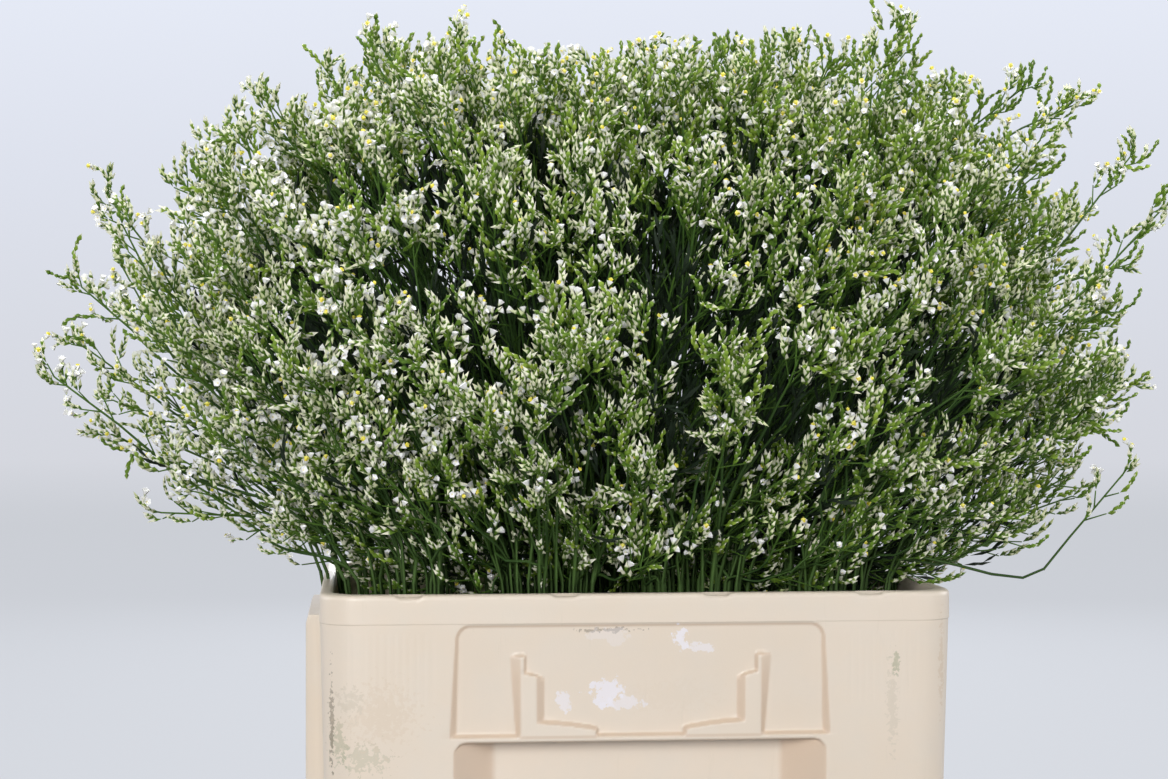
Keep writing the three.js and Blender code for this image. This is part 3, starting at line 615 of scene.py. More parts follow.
# A closed pointed bud of a few faces, widest at its waist
def addBud(shape, start, along, length, radius, lane, outHigh=1.0, sides=3, waist=0.45):
    along = unit(along)
    side = unit(np.cross(along, [0.31, 0.17, 0.93]))
    other = np.cross(along, side)
    first, tip = len(shape["points"]), len(shape["points"]) + sides + 1
    shape["points"].append(start)
    shape["uv"].append((lane, 0.0))
    for k in range(sides):
        turn = 2 * math.pi * k / sides
        ring = side * math.cos(turn) + other * math.sin(turn)
        shape["points"].append(start + along * length * waist + ring * radius)
        shape["uv"].append((lane, outHigh * waist))
    shape["points"].append(start + along * length)
    shape["uv"].append((lane, outHigh))
    for k in range(sides):
        a, b = first + 1 + k, first + 1 + (k + 1) % sides
        shape["faces"] += [(first, b, a), (a, b, tip)]


# An open papery funnel with broad lobes, seen as white outside and tinted down its throat
def addCalyx(shape, start, along, size, rng, lane):
    along = unit(along)
    side = unit(np.cross(along, [0.2, 0.9, 0.3]))
    other = np.cross(along, side)
    length, radius, lobes = spike["calyxLength"] * size, spike["calyxRadius"] * size, spike["calyxLobes"]
    first = len(shape["points"])
    throat = start + along * length * spike["calyxThroat"]
    shape["points"] += [start + along * length * spike["calyxFoot"], throat]
    shape["uv"] += [(lane, 0.0), (lane, 1.0)]
    phase = rng.uniform(0, 2 * math.pi)
    for k in range(lobes):
        turn = phase + 2 * math.pi * k / lobes
        ring = side * math.cos(turn) + other * math.sin(turn)
        mouth = start + along * length * spike["calyxMouth"]
        shape["points"].append(mouth + ring * radius * rng.uniform(0.88, 1.12))
        shape["uv"].append((lane, 0.6))
    for k in range(lobes):
        a, b = first + 2 + k, first + 2 + (k + 1) % lobes
        shape["faces"] += [(first, b, a), (first + 1, a, b)]
    return throat


def makeSpike(name, buds, calyxes, corollas, length, green, seed, isShadedLeafy):
    rng = np.random.default_rng(seed)
    shape = {"points": [], "faces": [], "uv": []}
    reach, bend = spike["length"] * length, spike["bend"]
    kind = greenBud if green else plainBud

    def spine(share):
        turn = bend * share
        middle = np.array([reach * (1 - math.cos(turn)) / bend, 0, reach * math.sin(turn) / bend])
        return middle, np.array([math.sin(turn), 0, math.cos(turn)])

    for k in range(buds):
        share = (k + 0.2) / buds
        middle, forward = spine(share)
        row = 1 if k % 2 else -1
        wide = spike["spread"] * rng.uniform(0.45, 1.15) * kind["spread"]
        along = forward + np.array([rng.uniform(0.0, 0.4), row * wide, 0])
        long = spike["budLength"] * (1.05 - 0.25 * share) * rng.uniform(0.85, 1.12) * kind["long"]
        radius = spike["budRadius"] * rng.uniform(0.85, 1.15) * kind["fat"]
        lane, rise = lanes["bract"] + lanes["width"] * rng.uniform(*kind["lane"]), kind["rise"]
        # these take the darkest end of the stem colours: painted shade for the crown's inside
        if isShadedLeafy:
            long, radius = long * shadedLeafy["long"], radius * shadedLeafy["fat"]
            lane, rise = shadedLeafy["lane"], shadedLeafy["rise"]
        addBud(shape, middle, along, long, radius, lane, rise)
    for k in range(calyxes):
        middle, forward = spine(1 - 0.6 * k / calyxes)
        row = spike["calyxRows"][k % len(spike["calyxRows"])]
        along = forward * rng.uniform(0.5, 0.9) + np.array([0.6 - 0.3 * (k % 2), row, 0])
        lane = lanes["calyx"] + lanes["width"] * rng.uniform(0, 1)
        start = middle + unit(along) * spike["calyxLift"]
        throat = addCalyx(shape, start, along, rng.uniform(0.85, 1.15), rng, lane)
        if k < corollas:
            addBud(shape, throat, along, spike["corollaLength"], spike["corollaRadius"],
                   lanes["corolla"] + lanes["margin"], sides=spike["corollaSides"],
                   waist=spike["corollaWaist"])
    mesh = bpy.data.meshes.new(name)
    mesh.from_pydata([tuple(point) for point in shape["points"]], [], shape["faces"])
    layer = mesh.uv_layers.new(name="OFBake")
    corners = np.array([shape["uv"][loop.vertex_index] for loop in mesh.loops], np.float32)
    layer.data.foreach_set("uv", corners.ravel())
    return bpy.data.objects.new(name, mesh)


# Kinds of spike: buds, open calyxes, corollas, length and whether it is still green. The last are leaf-like
# ones, dark green all over, which is painted shade for the inside of the crown.
spikeKinds = [
    (5, 0, 0, 0.95, False), (6, 0, 0, 1.15, False), (4, 0, 0, 0.80, False), (5, 0, 0, 1.05, False),
    (6, 0, 0, 1.40, True), (5, 0, 0, 1.15, True), (7, 0, 0, 1.60, True),
    (5, 1, 0, 1.00, False), (4, 2, 0, 0.95, False), (4, 1, 0, 1.00, False), (3, 3, 0, 0.90, False),
    (4, 1, 1, 1.00, False), (4, 2, 1, 1.00, False), (3, 2, 2, 0.95, False),
    (3, 3, 0, 0.85, False), (2, 4, 1, 0.90, False),
    (3, 0, 0, 1.60, True), (4, 0, 0, 2.00, True),
]
kindRanges = {"bud": (0, 4), "green": (4, 7), "open": (7, 11), "yellow": (11, 14), "white": (14, 16),
              "inner": (16, 18)}

spikeSet = bpy.data.collections.new("spikeKinds")
for index, kind in enumerate(spikeKinds):
    isShadedLeafy = index >= kindRanges["inner"][0]
    spikeSet.objects.link(makeSpike(f"spike{index:02d}", *kind, 40 + index, isShadedLeafy))


# Bunches: the same places, cells and crown as the solids, in metres
crown = {
    "centre": np.array([-0.010, 0.0, 0.426]),
    "frontReach": [0.354, 0.358, 0.349, 0.332, 0.304, 0.266, 0.247, 0.256, 0.300, 0.318, 0.325, 0.310,
                   0.267, 0.235, 0.208, 0.160, 0.120, 0.100, 0.095, 0.100, 0.125, 0.170, 0.240, 0.325],
    "frontTips": [0.387, 0.400, 0.423, 0.378, 0.335, 0.292, 0.272, 0.282, 0.330, 0.345, 0.370, 0.397,
                  0.360, 0.280, 0.235, 0.180, 0.130, 0.110, 0.100, 0.110, 0.135, 0.190, 0.265, 0.350],
    "depthReach": 0.270, "depthTips": 0.290, "undercut": 0.32, "undercutStart": 0.08, "undercutSpan": 0.36,
    "squareness": 2.3,
}
bunches = {
    "rowOffset": 0.090, "rowShift": 0.007, "row": (-0.138, -0.047, 0.045, 0.136),
    "middle": (-0.160, -0.080, 0.0, 0.080, 0.160), "fanPoint": 0.030, "rim": 0.330,
    "footPull": 0.86, "footRadius": 0.019, "neckRadius": 0.038, "stemRadius": 0.0013,
    "stalkRadius": 0.0009, "twigRadius": 0.0006, "mouth": (0.180, 0.130), "perStem": 3,
    "waist": 0.200, "waistPull": 0.95, "waistRadius": 0.015, "forkAngle": 0.55, "forkReach": 0.10,
}
# How far each part of a bunch stays inside the solids' box
margins = {"tip": 0.020, "twig": 0.019, "stray": 0.014, "outerSpike": 0.025, "innerSpike": 0.038}
places = np.array(
    [(x - bunches["rowShift"], -bunches["rowOffset"]) for x in bunches["row"]]
    + [(x, 0.0) for x in bunches["middle"]]
    + [(x + bunches["rowShift"], bunches["rowOffset"]) for x in bunches["row"]])
goldenAngle = math.pi * (3 - math.sqrt(5))
upwards = np.array([0.0, 0.0, 1.0])


def outlineAt(outline, angle):
    step = 2 * math.pi / len(outline)
    turn = (angle / step) % len(outline)
    low = int(turn) % len(outline)
    following = outline[(low + 1) % len(outline)]
    return outline[low] + (following - outline[low]) * (turn - int(turn))


def crownReach(direction, outline, depth):
    front = math.hypot(direction[0], direction[2])
    reach = outlineAt(outline, math.atan2(direction[2], direction[0]))
    lowering = min(max((crown["undercutStart"] - direction[2]) / crown["undercutSpan"], 0), 1)
    lowDepth = depth * (1 - crown["undercut"] * lowering)
    power = crown["squareness"]
    return ((front / reach) ** power + (abs(direction[1]) / lowDepth) ** power) ** (-1 / power)


def spiralDirection(k, count, twist=0.0):
    z = 1 - 2 * (k + 0.5) / count
    ring = math.sqrt(1 - z * z)
    return np.array([ring * math.cos(k * goldenAngle + twist), ring * math.sin(k * goldenAngle + twist), z])


def nearestBunch(point):
    spread = max(1.0, (point[2] - bunches["fanPoint"]) / (bunches["rim"] - bunches["fanPoint"]))
    return int(np.argmin(((places - point[:2] / spread) ** 2).sum(1)))


# A point pulled in towards the crown's middle until it lies in the solids' box
def keepInBox(point, margin):
    low, high = np.array(cadLow) + margin, np.array(cadHigh) - margin
    centre = crown["centre"]
    offset = point - centre
    limit = np.where(offset > 0, high - centre, low - centre)
    moves = np.abs(offset) > 1e-6
    return centre + offset * min(1.0, np.min(np.where(moves, limit / np.where(moves, offset, 1), 9)))


def flowLine(start, startPull, end, endPull, count):
    t = np.linspace(0, 1, count)[:, None]
    first, second = start + startPull, end - endPull
    return (1 - t) ** 3 * start + 3 * (1 - t) ** 2 * t * first + 3 * (1 - t) * t ** 2 * second + t ** 3 * end


# Layers of flower heads from the outside in: how many, how deep, and how they are built
layers = [
    {"count": 1460, "near": 0.86, "far": 1.00, "twist": 0.0, "outer": True},
    {"count": 1080, "near": 0.64, "far": 0.88, "twist": 1.3, "outer": False},
    {"count": 400, "near": 0.35, "far": 0.60, "twist": 2.1, "outer": False},
]
widestReach = 0.37
# The dense part stops short of the solids' crown, which the sprays fill
denseShare = 0.955
# Looser sprays on the way out to the wisps, the wisps, and low sprays all round the rim
sprays = {"count": 420, "ratio": 1.09, "reach": 0.55, "twist": 0.7}
wisps = {"count": 254, "ratio": 1.14, "spare": 0.22, "near": 0.90, "far": 1.0}
lowSprays = {"count": 100, "half": (0.187, 0.137), "past": (-0.045, 0.024), "height": (0.345, 0.425)}
lowestSpray = bunches["rim"] + 0.02
# A flower head: its length and lean, its twigs' number, lengths and fork angle, and their spikes
head = {"length": (0.040, 0.064), "lean": 0.70, "wispLean": 0.55, "wispLong": 1.35, "shortLong": 0.6,
        "twigs": 6, "twigLong": 0.027, "twigShort": 0.012, "wispTwig": 0.7, "fork": 0.74, "perTwig": 3,
        "innerTwigs": 4, "sparseBelow": 0.405, "spikeScale": (1.02, 1.36)}
tipRoom = 0.010


def denseReach(direction):
    return crownReach(direction, crown["frontReach"], crown["depthReach"])


def tipReach(direction):
    return crownReach(direction, crown["frontTips"], crown["depthTips"])


def headTargets(rng):
    targets = []

    def add(tip, direction, outer=True, wisp=False, short=False):
        targets.append({"tip": tip, "direction": direction, "outer": outer, "wisp": wisp, "short": short})

    def shaken(direction, amount):
        return unit(direction + rng.normal(0, amount, 3))

    def tipAt(direction, reach):
        return crown["centre"] + direction * (reach - tipRoom)

    for layer in layers:
        for k in range(layer["count"]):
            direction = shaken(spiralDirection(k, layer["count"], layer["twist"]), 0.045)
            reach = denseReach(direction)
            if rng.uniform() > (reach / widestReach) ** 2:
                continue
            tip = tipAt(direction, reach * denseShare * rng.uniform(layer["near"], layer["far"]))
            if tip[2] >= bunches["rim"]:
                add(tip, direction, layer["outer"])
    for k in range(sprays["count"]):
        direction = shaken(spiralDirection(k, sprays["count"], sprays["twist"]), 0.03)
        reach, far = denseReach(direction), tipReach(direction)
        if far < sprays["ratio"] * reach:
            continue
        tip = tipAt(direction, reach * denseShare + (far - reach) * rng.uniform(0.0, sprays["reach"]))
        if tip[2] > lowestSpray:
            add(tip, direction, wisp=rng.uniform() < 0.5)
    # wisps reach past the dense crown, at the same places as the solids' sprays
    for k in range(wisps["count"]):
        direction = spiralDirection(k, wisps["count"])
        reach, far = denseReach(direction), tipReach(direction)
        if far < wisps["ratio"] * reach and rng.uniform() > wisps["spare"]:
            continue
        tip = tipAt(direction, far * rng.uniform(wisps["near"], wisps["far"]))
        if tip[2] > lowestSpray:
            add(tip, direction, wisp=True)
    for k in range(lowSprays["count"]):
        turn = 2 * math.pi * (k + rng.uniform()) / lowSprays["count"]
        out = np.array([math.cos(turn), math.sin(turn)])
        edge = 1 / max(abs(out[0]) / lowSprays["half"][0], abs(out[1]) / lowSprays["half"][1])
        flat = out * (edge + rng.uniform(*lowSprays["past"]))
        tip = np.array([*flat, rng.uniform(*lowSprays["height"])])
        add(tip, unit(np.array([*out, 0.35])), short=True)
    for each in targets:
        each["tip"] = keepInBox(each["tip"], margins["tip"])
        lean = head["wispLean"] if each["wisp"] else head["lean"]
        rise = upwards * lean * rng.uniform(0.6, 1.1)
        each["axis"] = unit(each["direction"] * 0.9 + rise + rng.normal(0, 0.22, 3))
        each["length"] = rng.uniform(*head["length"]) * (head["wispLong"] if each["wisp"] else 1.0)
        if each["short"]:
            each["length"] *= head["shortLong"]
        each["base"] = each["tip"] - each["axis"] * each["length"]
        inMouth = all(np.abs(each["base"][:2]) < bunches["mouth"])
        each["base"][2] = max(each["base"][2], bunches["rim"] + (-0.010 if inMouth else 0.010))
        each["bunch"] = nearestBunch(each["base"])
    return targets


# Quaternion (w, x, y, z) that turns +Z to along and leans +X towards side
def turnTo(along, side):
    z = unit(along)
    x = side - z * np.dot(side, z)
    x = unit(x) if np.linalg.norm(x) > 1e-6 else unit(np.cross([0.3, 0.9, 0.2], z))
    y = np.cross(z, x)
    m = np.array([x, y, z]).T
    w = math.sqrt(max(0.0, 1 + m[0, 0] + m[1, 1] + m[2, 2])) / 2
    if w > 1e-4:
        return (w, (m[2, 1] - m[1, 2]) / (4 * w), (m[0, 2] - m[2, 0]) / (4 * w),
                (m[1, 0] - m[0, 1]) / (4 * w))
    k = int(np.argmax([m[0, 0], m[1, 1], m[2, 2]]))
    i, j = (k + 1) % 3, (k + 2) % 3
    q = math.sqrt(max(1e-9, 1 + m[k, k] - m[i, i] - m[j, j])) / 2
    result = [(m[j, i] - m[i, j]) / (4 * q), 0, 0, 0]
    result[1 + k] = q
    result[1 + i] = (m[i, k] + m[k, i]) / (4 * q)
    result[1 + j] = (m[j, k] + m[k, j]) / (4 * q)
    return tuple(result)


# Which kind of spike stands here: whiter at the left, more yellow near the top, greener at the right
def chooseKind(point, outer, rng):
    # heads inside the crown get the dark leaf-like kinds, painted shade for its gaps
    if not outer:
        return int(rng.integers(*kindRanges["inner"]))
    height = np.clip((point[2] - 0.34) / 0.34, 0, 1)
    left = np.clip((0.06 - point[0]) / 0.30, 0, 1)
    wave = math.sin(19 * point[0] + 3 * math.sin(13 * point[2])) * math.cos(15 * point[1] + 11 * point[2])
    patch = 0.5 + 0.5 * wave
    shares = [("white", 0.02 + 0.17 * left * patch), ("yellow", 0.04 + 0.16 * height * patch),
              ("open", 0.06 + 0.17 * left * patch + 0.05 * patch),
              ("green", 0.12 + 0.32 * (1 - left) + 0.08 * height)]
    draw = rng.uniform()
    for name, share in shares:
        if draw < share:
            return int(rng.integers(*kindRanges[name]))
        draw -= share
    return int(rng.integers(*kindRanges["bud"]))


def addSpikePoint(bunch, point, along, rng, outer, scale=1.0):
    point = keepInBox(point, margins["outerSpike" if outer else "innerSpike"])
    side = upwards + rng.normal(0, 0.6, 3)
    bunch["spikes"].append((point, turnTo(along, side), scale * rng.uniform(*head["spikeScale"]),
                            chooseKind(point, outer, rng), rng.uniform()))


def addLine(bunch, points, radiusStart, radiusEnd, riseStart, riseEnd):
    share = np.linspace(0, 1, len(points))
    bunch["lines"].append((points, radiusStart + (radiusEnd - radiusStart) * share,
                           riseStart + (riseEnd - riseStart) * share))


# A head: a stalk tip with side twigs all round it, each twig ending in spikes
def growHead(bunch, target, start, startPull, rng):
    base, tip, axis = target["base"], target["tip"], target["axis"]
    outer, wisp, outwards = target["outer"], target["wisp"], target["direction"]
    stalkRadius, twigRadius = bunches["stalkRadius"], bunches["twigRadius"]
    straight = np.linalg.norm(base - start)
    bendAway = unit(axis + rng.normal(0, 0.12, 3))
    steps = 4 if straight < 0.09 else 7
    stalk = flowLine(start, startPull * straight * 0.45, base, bendAway * straight * 0.35, steps)
    addLine(bunch, stalk, stalkRadius * 1.15, stalkRadius, 0.25, 0.6)
    spine = flowLine(base, bendAway * target["length"] * 0.3, tip, axis * target["length"] * 0.3, 4)
    addLine(bunch, spine, stalkRadius, twigRadius, 0.6, 1.0)
    twigs = head["twigs"] if outer else head["innerTwigs"]
    phase = rng.uniform(0, 2 * math.pi)
    side = unit(np.cross(axis, [0.21, 0.37, 0.9]))
    other = np.cross(axis, side)
    for k in range(twigs):
        share = (0.38 if wisp else 0.22) + 0.74 * (k / twigs)
        t = share * 3
        low = min(int(t), 2)
        point = spine[low] + (spine[low + 1] - spine[low]) * (t - low)
        turn = phase + k * goldenAngle * 1.03
        around = side * math.cos(turn) + other * math.sin(turn)
        fork = head["fork"] * rng.uniform(0.75, 1.2)
        along = unit(axis * math.cos(fork) + around * math.sin(fork) + outwards * 0.2)
        long = (head["twigLong"] + (head["twigShort"] - head["twigLong"]) * share) * rng.uniform(0.8, 1.2)
        if wisp:
            long *= head["wispTwig"]
        end = keepInBox(point + along * long, margins["twig"])
        addLine(bunch, np.array([point, end]), twigRadius, twigRadius * 0.75, 0.8, 1.0)
        spikeAlong = unit(along + upwards * 0.3 + outwards * 0.45)
        addSpikePoint(bunch, end, spikeAlong, rng, outer)
        # most outer twigs carry more spikes below their end
        spare = 0
        if outer and tip[2] > head["sparseBelow"]:
            spare = (head["perTwig"] if rng.uniform() < 0.75 else 2) - 1
        for number in range(spare):
            part = point + (end - point) * (0.82 - 0.26 * number + rng.uniform(-0.06, 0.06))
            addSpikePoint(bunch, part, unit(spikeAlong + rng.normal(0, 0.55, 3)), rng, outer, 0.95)
    addSpikePoint(bunch, tip, unit(axis + rng.normal(0, 0.15, 3)), rng, outer)


# Heads that stand near each other share a stem
def shareStems(targets):
    left = list(targets)
    groups = []
    while left:
        middle = np.mean([each["base"] for each in left], 0)
        left.sort(key=lambda each: -np.linalg.norm(each["base"] - middle))
        first = left.pop(0)
        left.sort(key=lambda each: np.linalg.norm(each["base"] - first["base"]))
        groups.append([first] + left[:bunches["perStem"] - 1])
        left = left[bunches["perStem"] - 1:]
    return groups


# Where a stalk leaves its stem: at the point of the line from which it forks and reaches best
def forkPoint(line, base):
    choices = []
    for k in range(1, len(line) - 1):
        along = unit(line[k + 1] - line[k])
        away = base - line[k]
        angle = math.acos(np.clip(np.dot(along, unit(away)), -1, 1))
        distance = abs(np.linalg.norm(away) - bunches["forkReach"])
        miss = abs(angle - bunches["forkAngle"]) + 0.4 * distance / bunches["forkReach"]
        choices.append((miss, line[k], unit(along + unit(away) * 1.2)))
    return min(choices, key=lambda each: each[0])[1:]


def growBunch(index, targets, rng):
    bunch = {"lines": [], "spikes": []}
    place, rim, stemRadius = places[index], bunches["rim"], bunches["stemRadius"]
    groups = shareStems(targets)
    middles = [np.mean([each["base"] for each in group], 0) for group in groups]
    flat = []
    for middle in middles:
        spread = (middle[2] - bunches["fanPoint"]) / (rim - bunches["fanPoint"])
        flat.append(middle[:2] / spread - place)
    order = np.argsort([np.linalg.norm(each) for each in flat])
    rank = np.empty(len(groups))
    rank[order] = (np.arange(len(groups)) + 0.5) / len(groups)
    for group, offset, share in zip(groups, flat, rank):
        out = unit(offset) * math.sqrt(share)
        neck = np.array([*(place + out * bunches["neckRadius"]), rim + 0.004])
        foot = np.array([*(place * bunches["footPull"] + out * bunches["footRadius"]), 0.006])
        waist = np.array([*(place * bunches["waistPull"] + out * bunches["waistRadius"]), bunches["waist"]])
        leader = max(group, key=lambda each: np.linalg.norm(each["tip"] - neck))
        rise = unit(neck - waist)
        lower = flowLine(foot, (waist - foot) * 0.4, neck, (neck - waist) * 0.4, 5)
        addLine(bunch, lower, stemRadius * 1.1, stemRadius, 0.0, 0.15)
        reach = np.linalg.norm(leader["base"] - neck)
        startPull = unit(rise + upwards * 0.4 + rng.normal(0, 0.22, 3)) * reach * 0.38
        upper = flowLine(neck, startPull, leader["base"], leader["axis"] * reach * 0.30, 7)
        addLine(bunch, upper, stemRadius, bunches["stalkRadius"], 0.15, 0.6)
        growHead(bunch, leader, leader["base"] - leader["axis"] * 0.001, leader["axis"], rng)
        for each in group:
            if each is leader:
                continue
            start, pull = forkPoint(upper, each["base"])
            growHead(bunch, each, start, pull, rng)
            if np.linalg.norm(each["base"] - start) > 0.06:
                # a short twig part of the way along a long stalk
                part = start + (each["base"] - start) * rng.uniform(0.45, 0.8)
                along = unit(unit(each["base"] - start) + rng.normal(0, 0.55, 3))
                end = keepInBox(part + along * rng.uniform(0.012, 0.024), margins["stray"])
                radius = bunches["twigRadius"]
                addLine(bunch, np.array([part, end]), radius, radius, 0.7, 0.9)
                addSpikePoint(bunch, end, along, rng, False)
    return bunch


# Tree that dresses a bunch: tubes along its lines, and a spike on each of its points
def makeBunchTree():
    tree = bpy.data.node_groups.new("stemsAndSpikes", "GeometryNodeTree")
    for name, kind, way in [("Lines", "Geometry", "INPUT"), ("Spike Points", "Object", "INPUT"),
                            ("Spike Kinds", "Collection", "INPUT"), ("Stem Sides", "Int", "INPUT"),
                            ("Shade Width", "Float", "INPUT"), ("Finish", "Material", "INPUT"),
                            ("Bunch", "Geometry", "OUTPUT")]:
        tree.interface.new_socket(name=name, in_out=way, socket_type="NodeSocket" + kind)
    given = addNode(tree, "NodeGroupInput").outputs

    def make(kind, inputs, output=0, **settings):
        return addNode(tree, "GeometryNode" + kind, inputs, **settings).outputs[output]

    def named(name, kind):
        return make("InputNamedAttribute", {"Name": name}, "Attribute", data_type=kind)

    def storeMap(geometry, value):
        return make("StoreNamedAttribute", {"Geometry": geometry, "Name": "OFBake", "Value": value},
                    data_type="FLOAT2", domain="CORNER")

    # stems, stalks and twigs
    curve = make("MeshToCurve", {"Mesh": given["Lines"]})
    ring = make("CurvePrimitiveCircle", {"Resolution": given["Stem Sides"], "Radius": 1.0})
    tubes = make("CurveToMesh", {"Curve": curve, "Profile Curve": ring, "Fill Caps": True,
                                 "Scale": named("thickness", "FLOAT")})
    stemPlace = addNode(tree, "ShaderNodeCombineXYZ", {"X": lanes["stem"] + lanes["stemMiddle"],
                                                       "Y": named("rise", "FLOAT")}).outputs[0]
    stems = make("SetShadeSmooth", {"Geometry": storeMap(tubes, stemPlace)})

    # spikes, each turned, sized and chosen by its point
    points = make("ObjectInfo", {"Object": given["Spike Points"]}, "Geometry")
    kinds = make("CollectionInfo", {"Collection": given["Spike Kinds"], "Separate Children": True,
                                    "Reset Children": True})
    stand = make("InstanceOnPoints", {
        "Points": points, "Instance": kinds, "Pick Instance": True, "Instance Index": named("kind", "INT"),
        "Rotation": named("turn", "QUATERNION"), "Scale": named("size", "FLOAT")})
    real = make("RealizeInstances", {"Geometry": stand})
    amount = mathNode(tree, "MULTIPLY", named("shade", "FLOAT"), given["Shade Width"])
    shift = addNode(tree, "ShaderNodeCombineXYZ", {"X": amount}).outputs[0]
    moved = addNode(tree, "ShaderNodeVectorMath", {0: named("OFBake", "FLOAT_VECTOR"), 1: shift},
                    operation="ADD").outputs[0]
    both = addNode(tree, "GeometryNodeJoinGeometry")
    for each in (stems, storeMap(real, moved)):
        feed(tree, both.inputs[0], each)
    whole = make("RealizeInstances", {"Geometry": both.outputs[0]})
    finished = make("SetMaterial", {"Geometry": whole, "Material": given["Finish"]})
    feed(tree, addNode(tree, "NodeGroupOutput").inputs["Bunch"], finished)
    return tree


def setInputs(modifier, values):
    for socket in modifier.node_group.interface.items_tree:
        if socket.in_out == "INPUT" and socket.name in values:
            modifier[socket.identifier] = values[socket.name]


def lineMesh(name, lines):
    points, edges, thickness, rise = [], [], [], []
    for line, radii, heights in lines:
        first = len(points)
        points.extend(map(tuple, line))
        edges.extend((first + k, first + k + 1) for k in range(len(line) - 1))
        thickness.extend(radii)
        rise.extend(heights)
    mesh = bpy.data.meshes.new(name)
    mesh.from_pydata(points, edges, [])
    for attribute, values in [("thickness", thickness), ("rise", rise)]:
        layer = mesh.attributes.new(attribute, "FLOAT", "POINT")
        layer.data.foreach_set("value", np.array(values, np.float32))
    return mesh


def pointMesh(name, spikes):
    mesh = bpy.data.meshes.new(name)
    mesh.from_pydata([tuple(each[0]) for each in spikes], [], [])
    for attribute, kind, column in [("turn", "QUATERNION", 1), ("size", "FLOAT", 2), ("kind", "INT", 3),
                                    ("shade", "FLOAT", 4)]:
        layer = mesh.attributes.new(attribute, kind, "POINT")
        number = np.int32 if kind == "INT" else np.float32
        layer.data.foreach_set("value", np.array([each[column] for each in spikes], number).ravel())
    return mesh


def dressBunch(index, bunch, tree, finish):
    scene = bpy.context.scene.collection
    pointsObject = bpy.data.objects.new("spikePoints", pointMesh("spikePoints", bunch["spikes"]))
    piece = bpy.data.objects.new(f"bunch{index + 1:02d}", lineMesh("bunchLines", bunch["lines"]))
    scene.objects.link(pointsObject)
    scene.objects.link(piece)
    modifier = piece.modifiers.new("stemsAndSpikes", "NODES")
    modifier.node_group = tree
    setInputs(modifier, {"Spike Points": pointsObject, "Spike Kinds": spikeSet, "Stem Sides": 3,
                         "Shade Width": lanes["shade"], "Finish": finish})
    bpy.context.view_layer.update()
    graph = bpy.context.evaluated_depsgraph_get()
    mesh = bpy.data.meshes.new_from_object(piece.evaluated_get(graph), preserve_all_data_layers=True,
                                           depsgraph=graph)
    mesh.name = piece.name
    lines = piece.data
    piece.modifiers.clear()
    piece.data = mesh
    bpy.data.meshes.remove(lines)
    bpy.data.objects.remove(pointsObject)
    return piece


staticeMaterial = makeStaticeFinish()
bunchTree = makeBunchTree()
targets = headTargets(np.random.default_rng(11))
total = 0
for index in range(len(places)):
    mine = [each for each in targets if each["bunch"] == index]
    bunch = growBunch(index, mine, np.random.default_rng(100 + index))
    piece = dressBunch(index, bunch, bunchTree, staticeMaterial)
    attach(piece, "root")
    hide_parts(f"stems_{index + 1:02d}", f"statice_{index + 1:02d}")
    count = sum(len(face.vertices) - 2 for face in piece.data.polygons)
    total += count
    print(piece.name, "heads", len(mine), "spikes", len(bunch["spikes"]), "triangles", count)
print("bunches made:", total, "triangles")
for each in list(spikeSet.objects):
    bpy.data.objects.remove(each)
bpy.data.collections.remove(spikeSet)


# Floor, backdrop, light and camera
studio = {
    "floorRings": (1.5, 3.5), "floorRadius": 6.5, "sweepRadius": 5.0, "wallHeight": 9.0, "steps": 14,
    "sides": 64, "sunk": 0.0005, "glowHeight": 3.0, "backdrop": colour(68, 70, 74),
    "glow": [(0.0, colour(197, 200, 206)), (0.06, colour(209, 211, 218)), (0.5, colour(219, 223, 234)),
             (1.0, colour(231, 236, 248))],
    "world": colour(242, 244, 250), "worldStrength": 0.27,
}


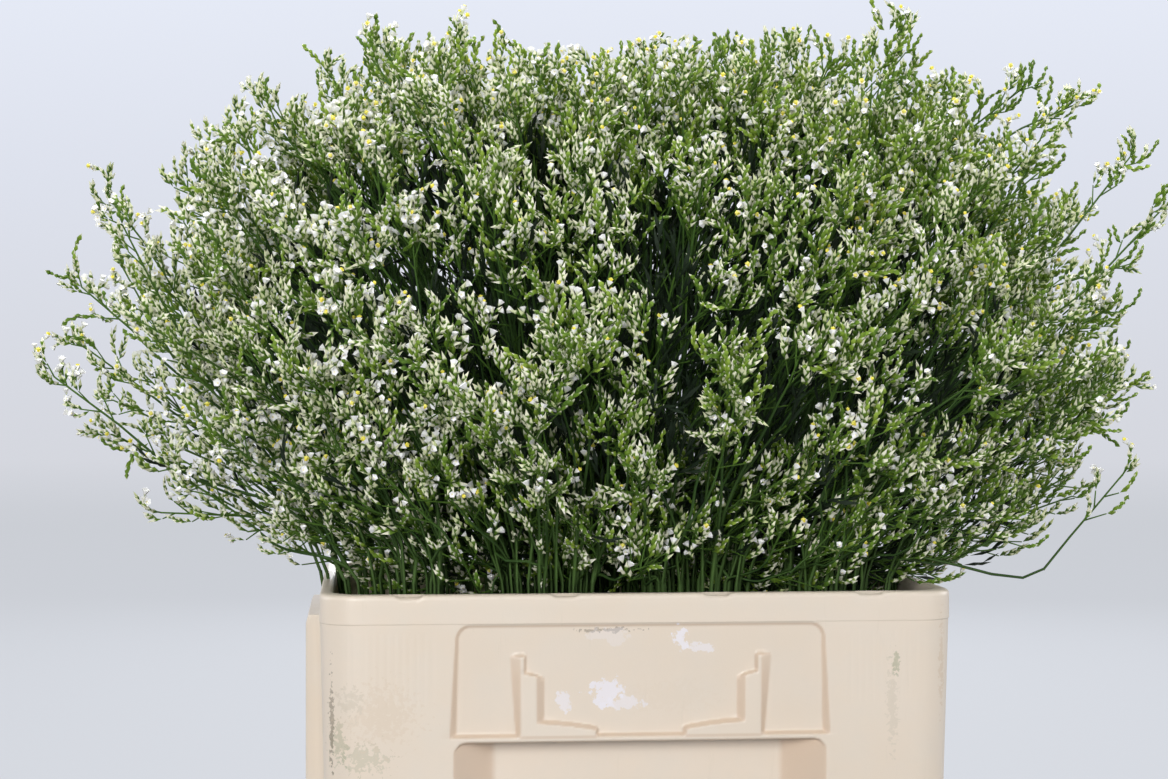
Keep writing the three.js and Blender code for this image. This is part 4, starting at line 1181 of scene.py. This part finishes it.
def makeStudio():
    look = studio
    floor, sweep, steps, sides, sunk = [look[name] for name in ("floorRadius", "sweepRadius", "steps",
                                                                "sides", "sunk")]
    rows = [(radius, -sunk) for radius in (*look["floorRings"], floor)]
    for k in range(1, steps + 1):
        turn = math.pi / 2 * k / steps
        rows.append((floor + sweep * math.sin(turn), sweep * (1 - math.cos(turn)) - sunk))
    rows.append((floor + sweep, look["wallHeight"]))
    points = [(0, 0, -sunk)]
    for radius, height in rows:
        for k in range(sides):
            turn = 2 * math.pi * k / sides
            points.append((radius * math.cos(turn), radius * math.sin(turn), height))
    faces = [(0, 1 + k, 1 + (k + 1) % sides) for k in range(sides)]
    for level in range(len(rows) - 1):
        low = 1 + level * sides
        faces += [(low + k, low + sides + k, low + sides + (k + 1) % sides, low + (k + 1) % sides)
                  for k in range(sides)]
    mesh = bpy.data.meshes.new("backdrop")
    mesh.from_pydata(points, [], faces)
    mesh.shade_smooth()
    backdrop = bpy.data.objects.new("backdrop", mesh)
    bpy.context.scene.collection.objects.link(backdrop)
    backdrop.visible_diffuse = False
    material, tree, shader = newMaterial("paleBackdrop", 0.9)
    shader.inputs["Base Color"].default_value = look["backdrop"]
    shader.inputs["Specular IOR Level"].default_value = 0.1
    place = splitPlace(tree, objectPlace(tree))
    height = mathNode(tree, "DIVIDE", place["Z"], look["glowHeight"], clamp=True)
    feed(tree, shader.inputs["Emission Color"], rampNode(tree, height, look["glow"]))
    shader.inputs["Emission Strength"].default_value = 1.0
    mesh.materials.append(material)
    world = bpy.data.worlds.new("studio")
    world.use_nodes = True
    background = world.node_tree.nodes["Background"]
    background.inputs["Color"].default_value = look["world"]
    background.inputs["Strength"].default_value = look["worldStrength"]
    bpy.context.scene.world = world


def addSoftLight(name, place, aimHeight, size, power):
    light = bpy.data.lights.new(name, "AREA")
    light.shape = "DISK"
    light.size = size
    light.energy = power
    lamp = bpy.data.objects.new(name, light)
    lamp.location = place
    aim = Vector((0, 0, aimHeight))
    lamp.rotation_euler = (aim - Vector(place)).to_track_quat("-Z", "Y").to_euler()
    bpy.context.scene.collection.objects.link(lamp)


makeStudio()
# Lights: place, height they aim at, size and power
for name, *light in [
    ("keyLight", (-0.9, -3.0, 1.15), 0.40, 1.3, 63),
    ("fillLight", (2.2, -2.2, 1.2), 0.35, 1.6, 18),
    ("topLight", (0.1, 0.1, 3.0), 0.45, 1.2, 44),
    ("backLight", (0.4, 3.0, 1.5), 0.35, 1.8, 52),
    ("leftLight", (-2.9, 0.9, 1.3), 0.35, 1.6, 30),
    ("rightLight", (2.9, 0.9, 1.3), 0.35, 1.6, 34),
]:
    addSoftLight(name, *light)

view = {"place": (-0.168, -1.576, 0.4538), "turn": (90.0, 0.0, -5.3), "lens": 73.1, "sensor": 36.0}
camera = bpy.data.cameras.new("camera")
camera.lens = view["lens"]
camera.sensor_width = view["sensor"]
cameraObject = bpy.data.objects.new("camera", camera)
cameraObject.location = view["place"]
cameraObject.rotation_euler = Euler([math.radians(each) for each in view["turn"]])
bpy.context.scene.collection.objects.link(cameraObject)
bpy.context.scene.camera = cameraObject
bpy.context.scene.view_settings.view_transform = "Standard"
print("studio ready")
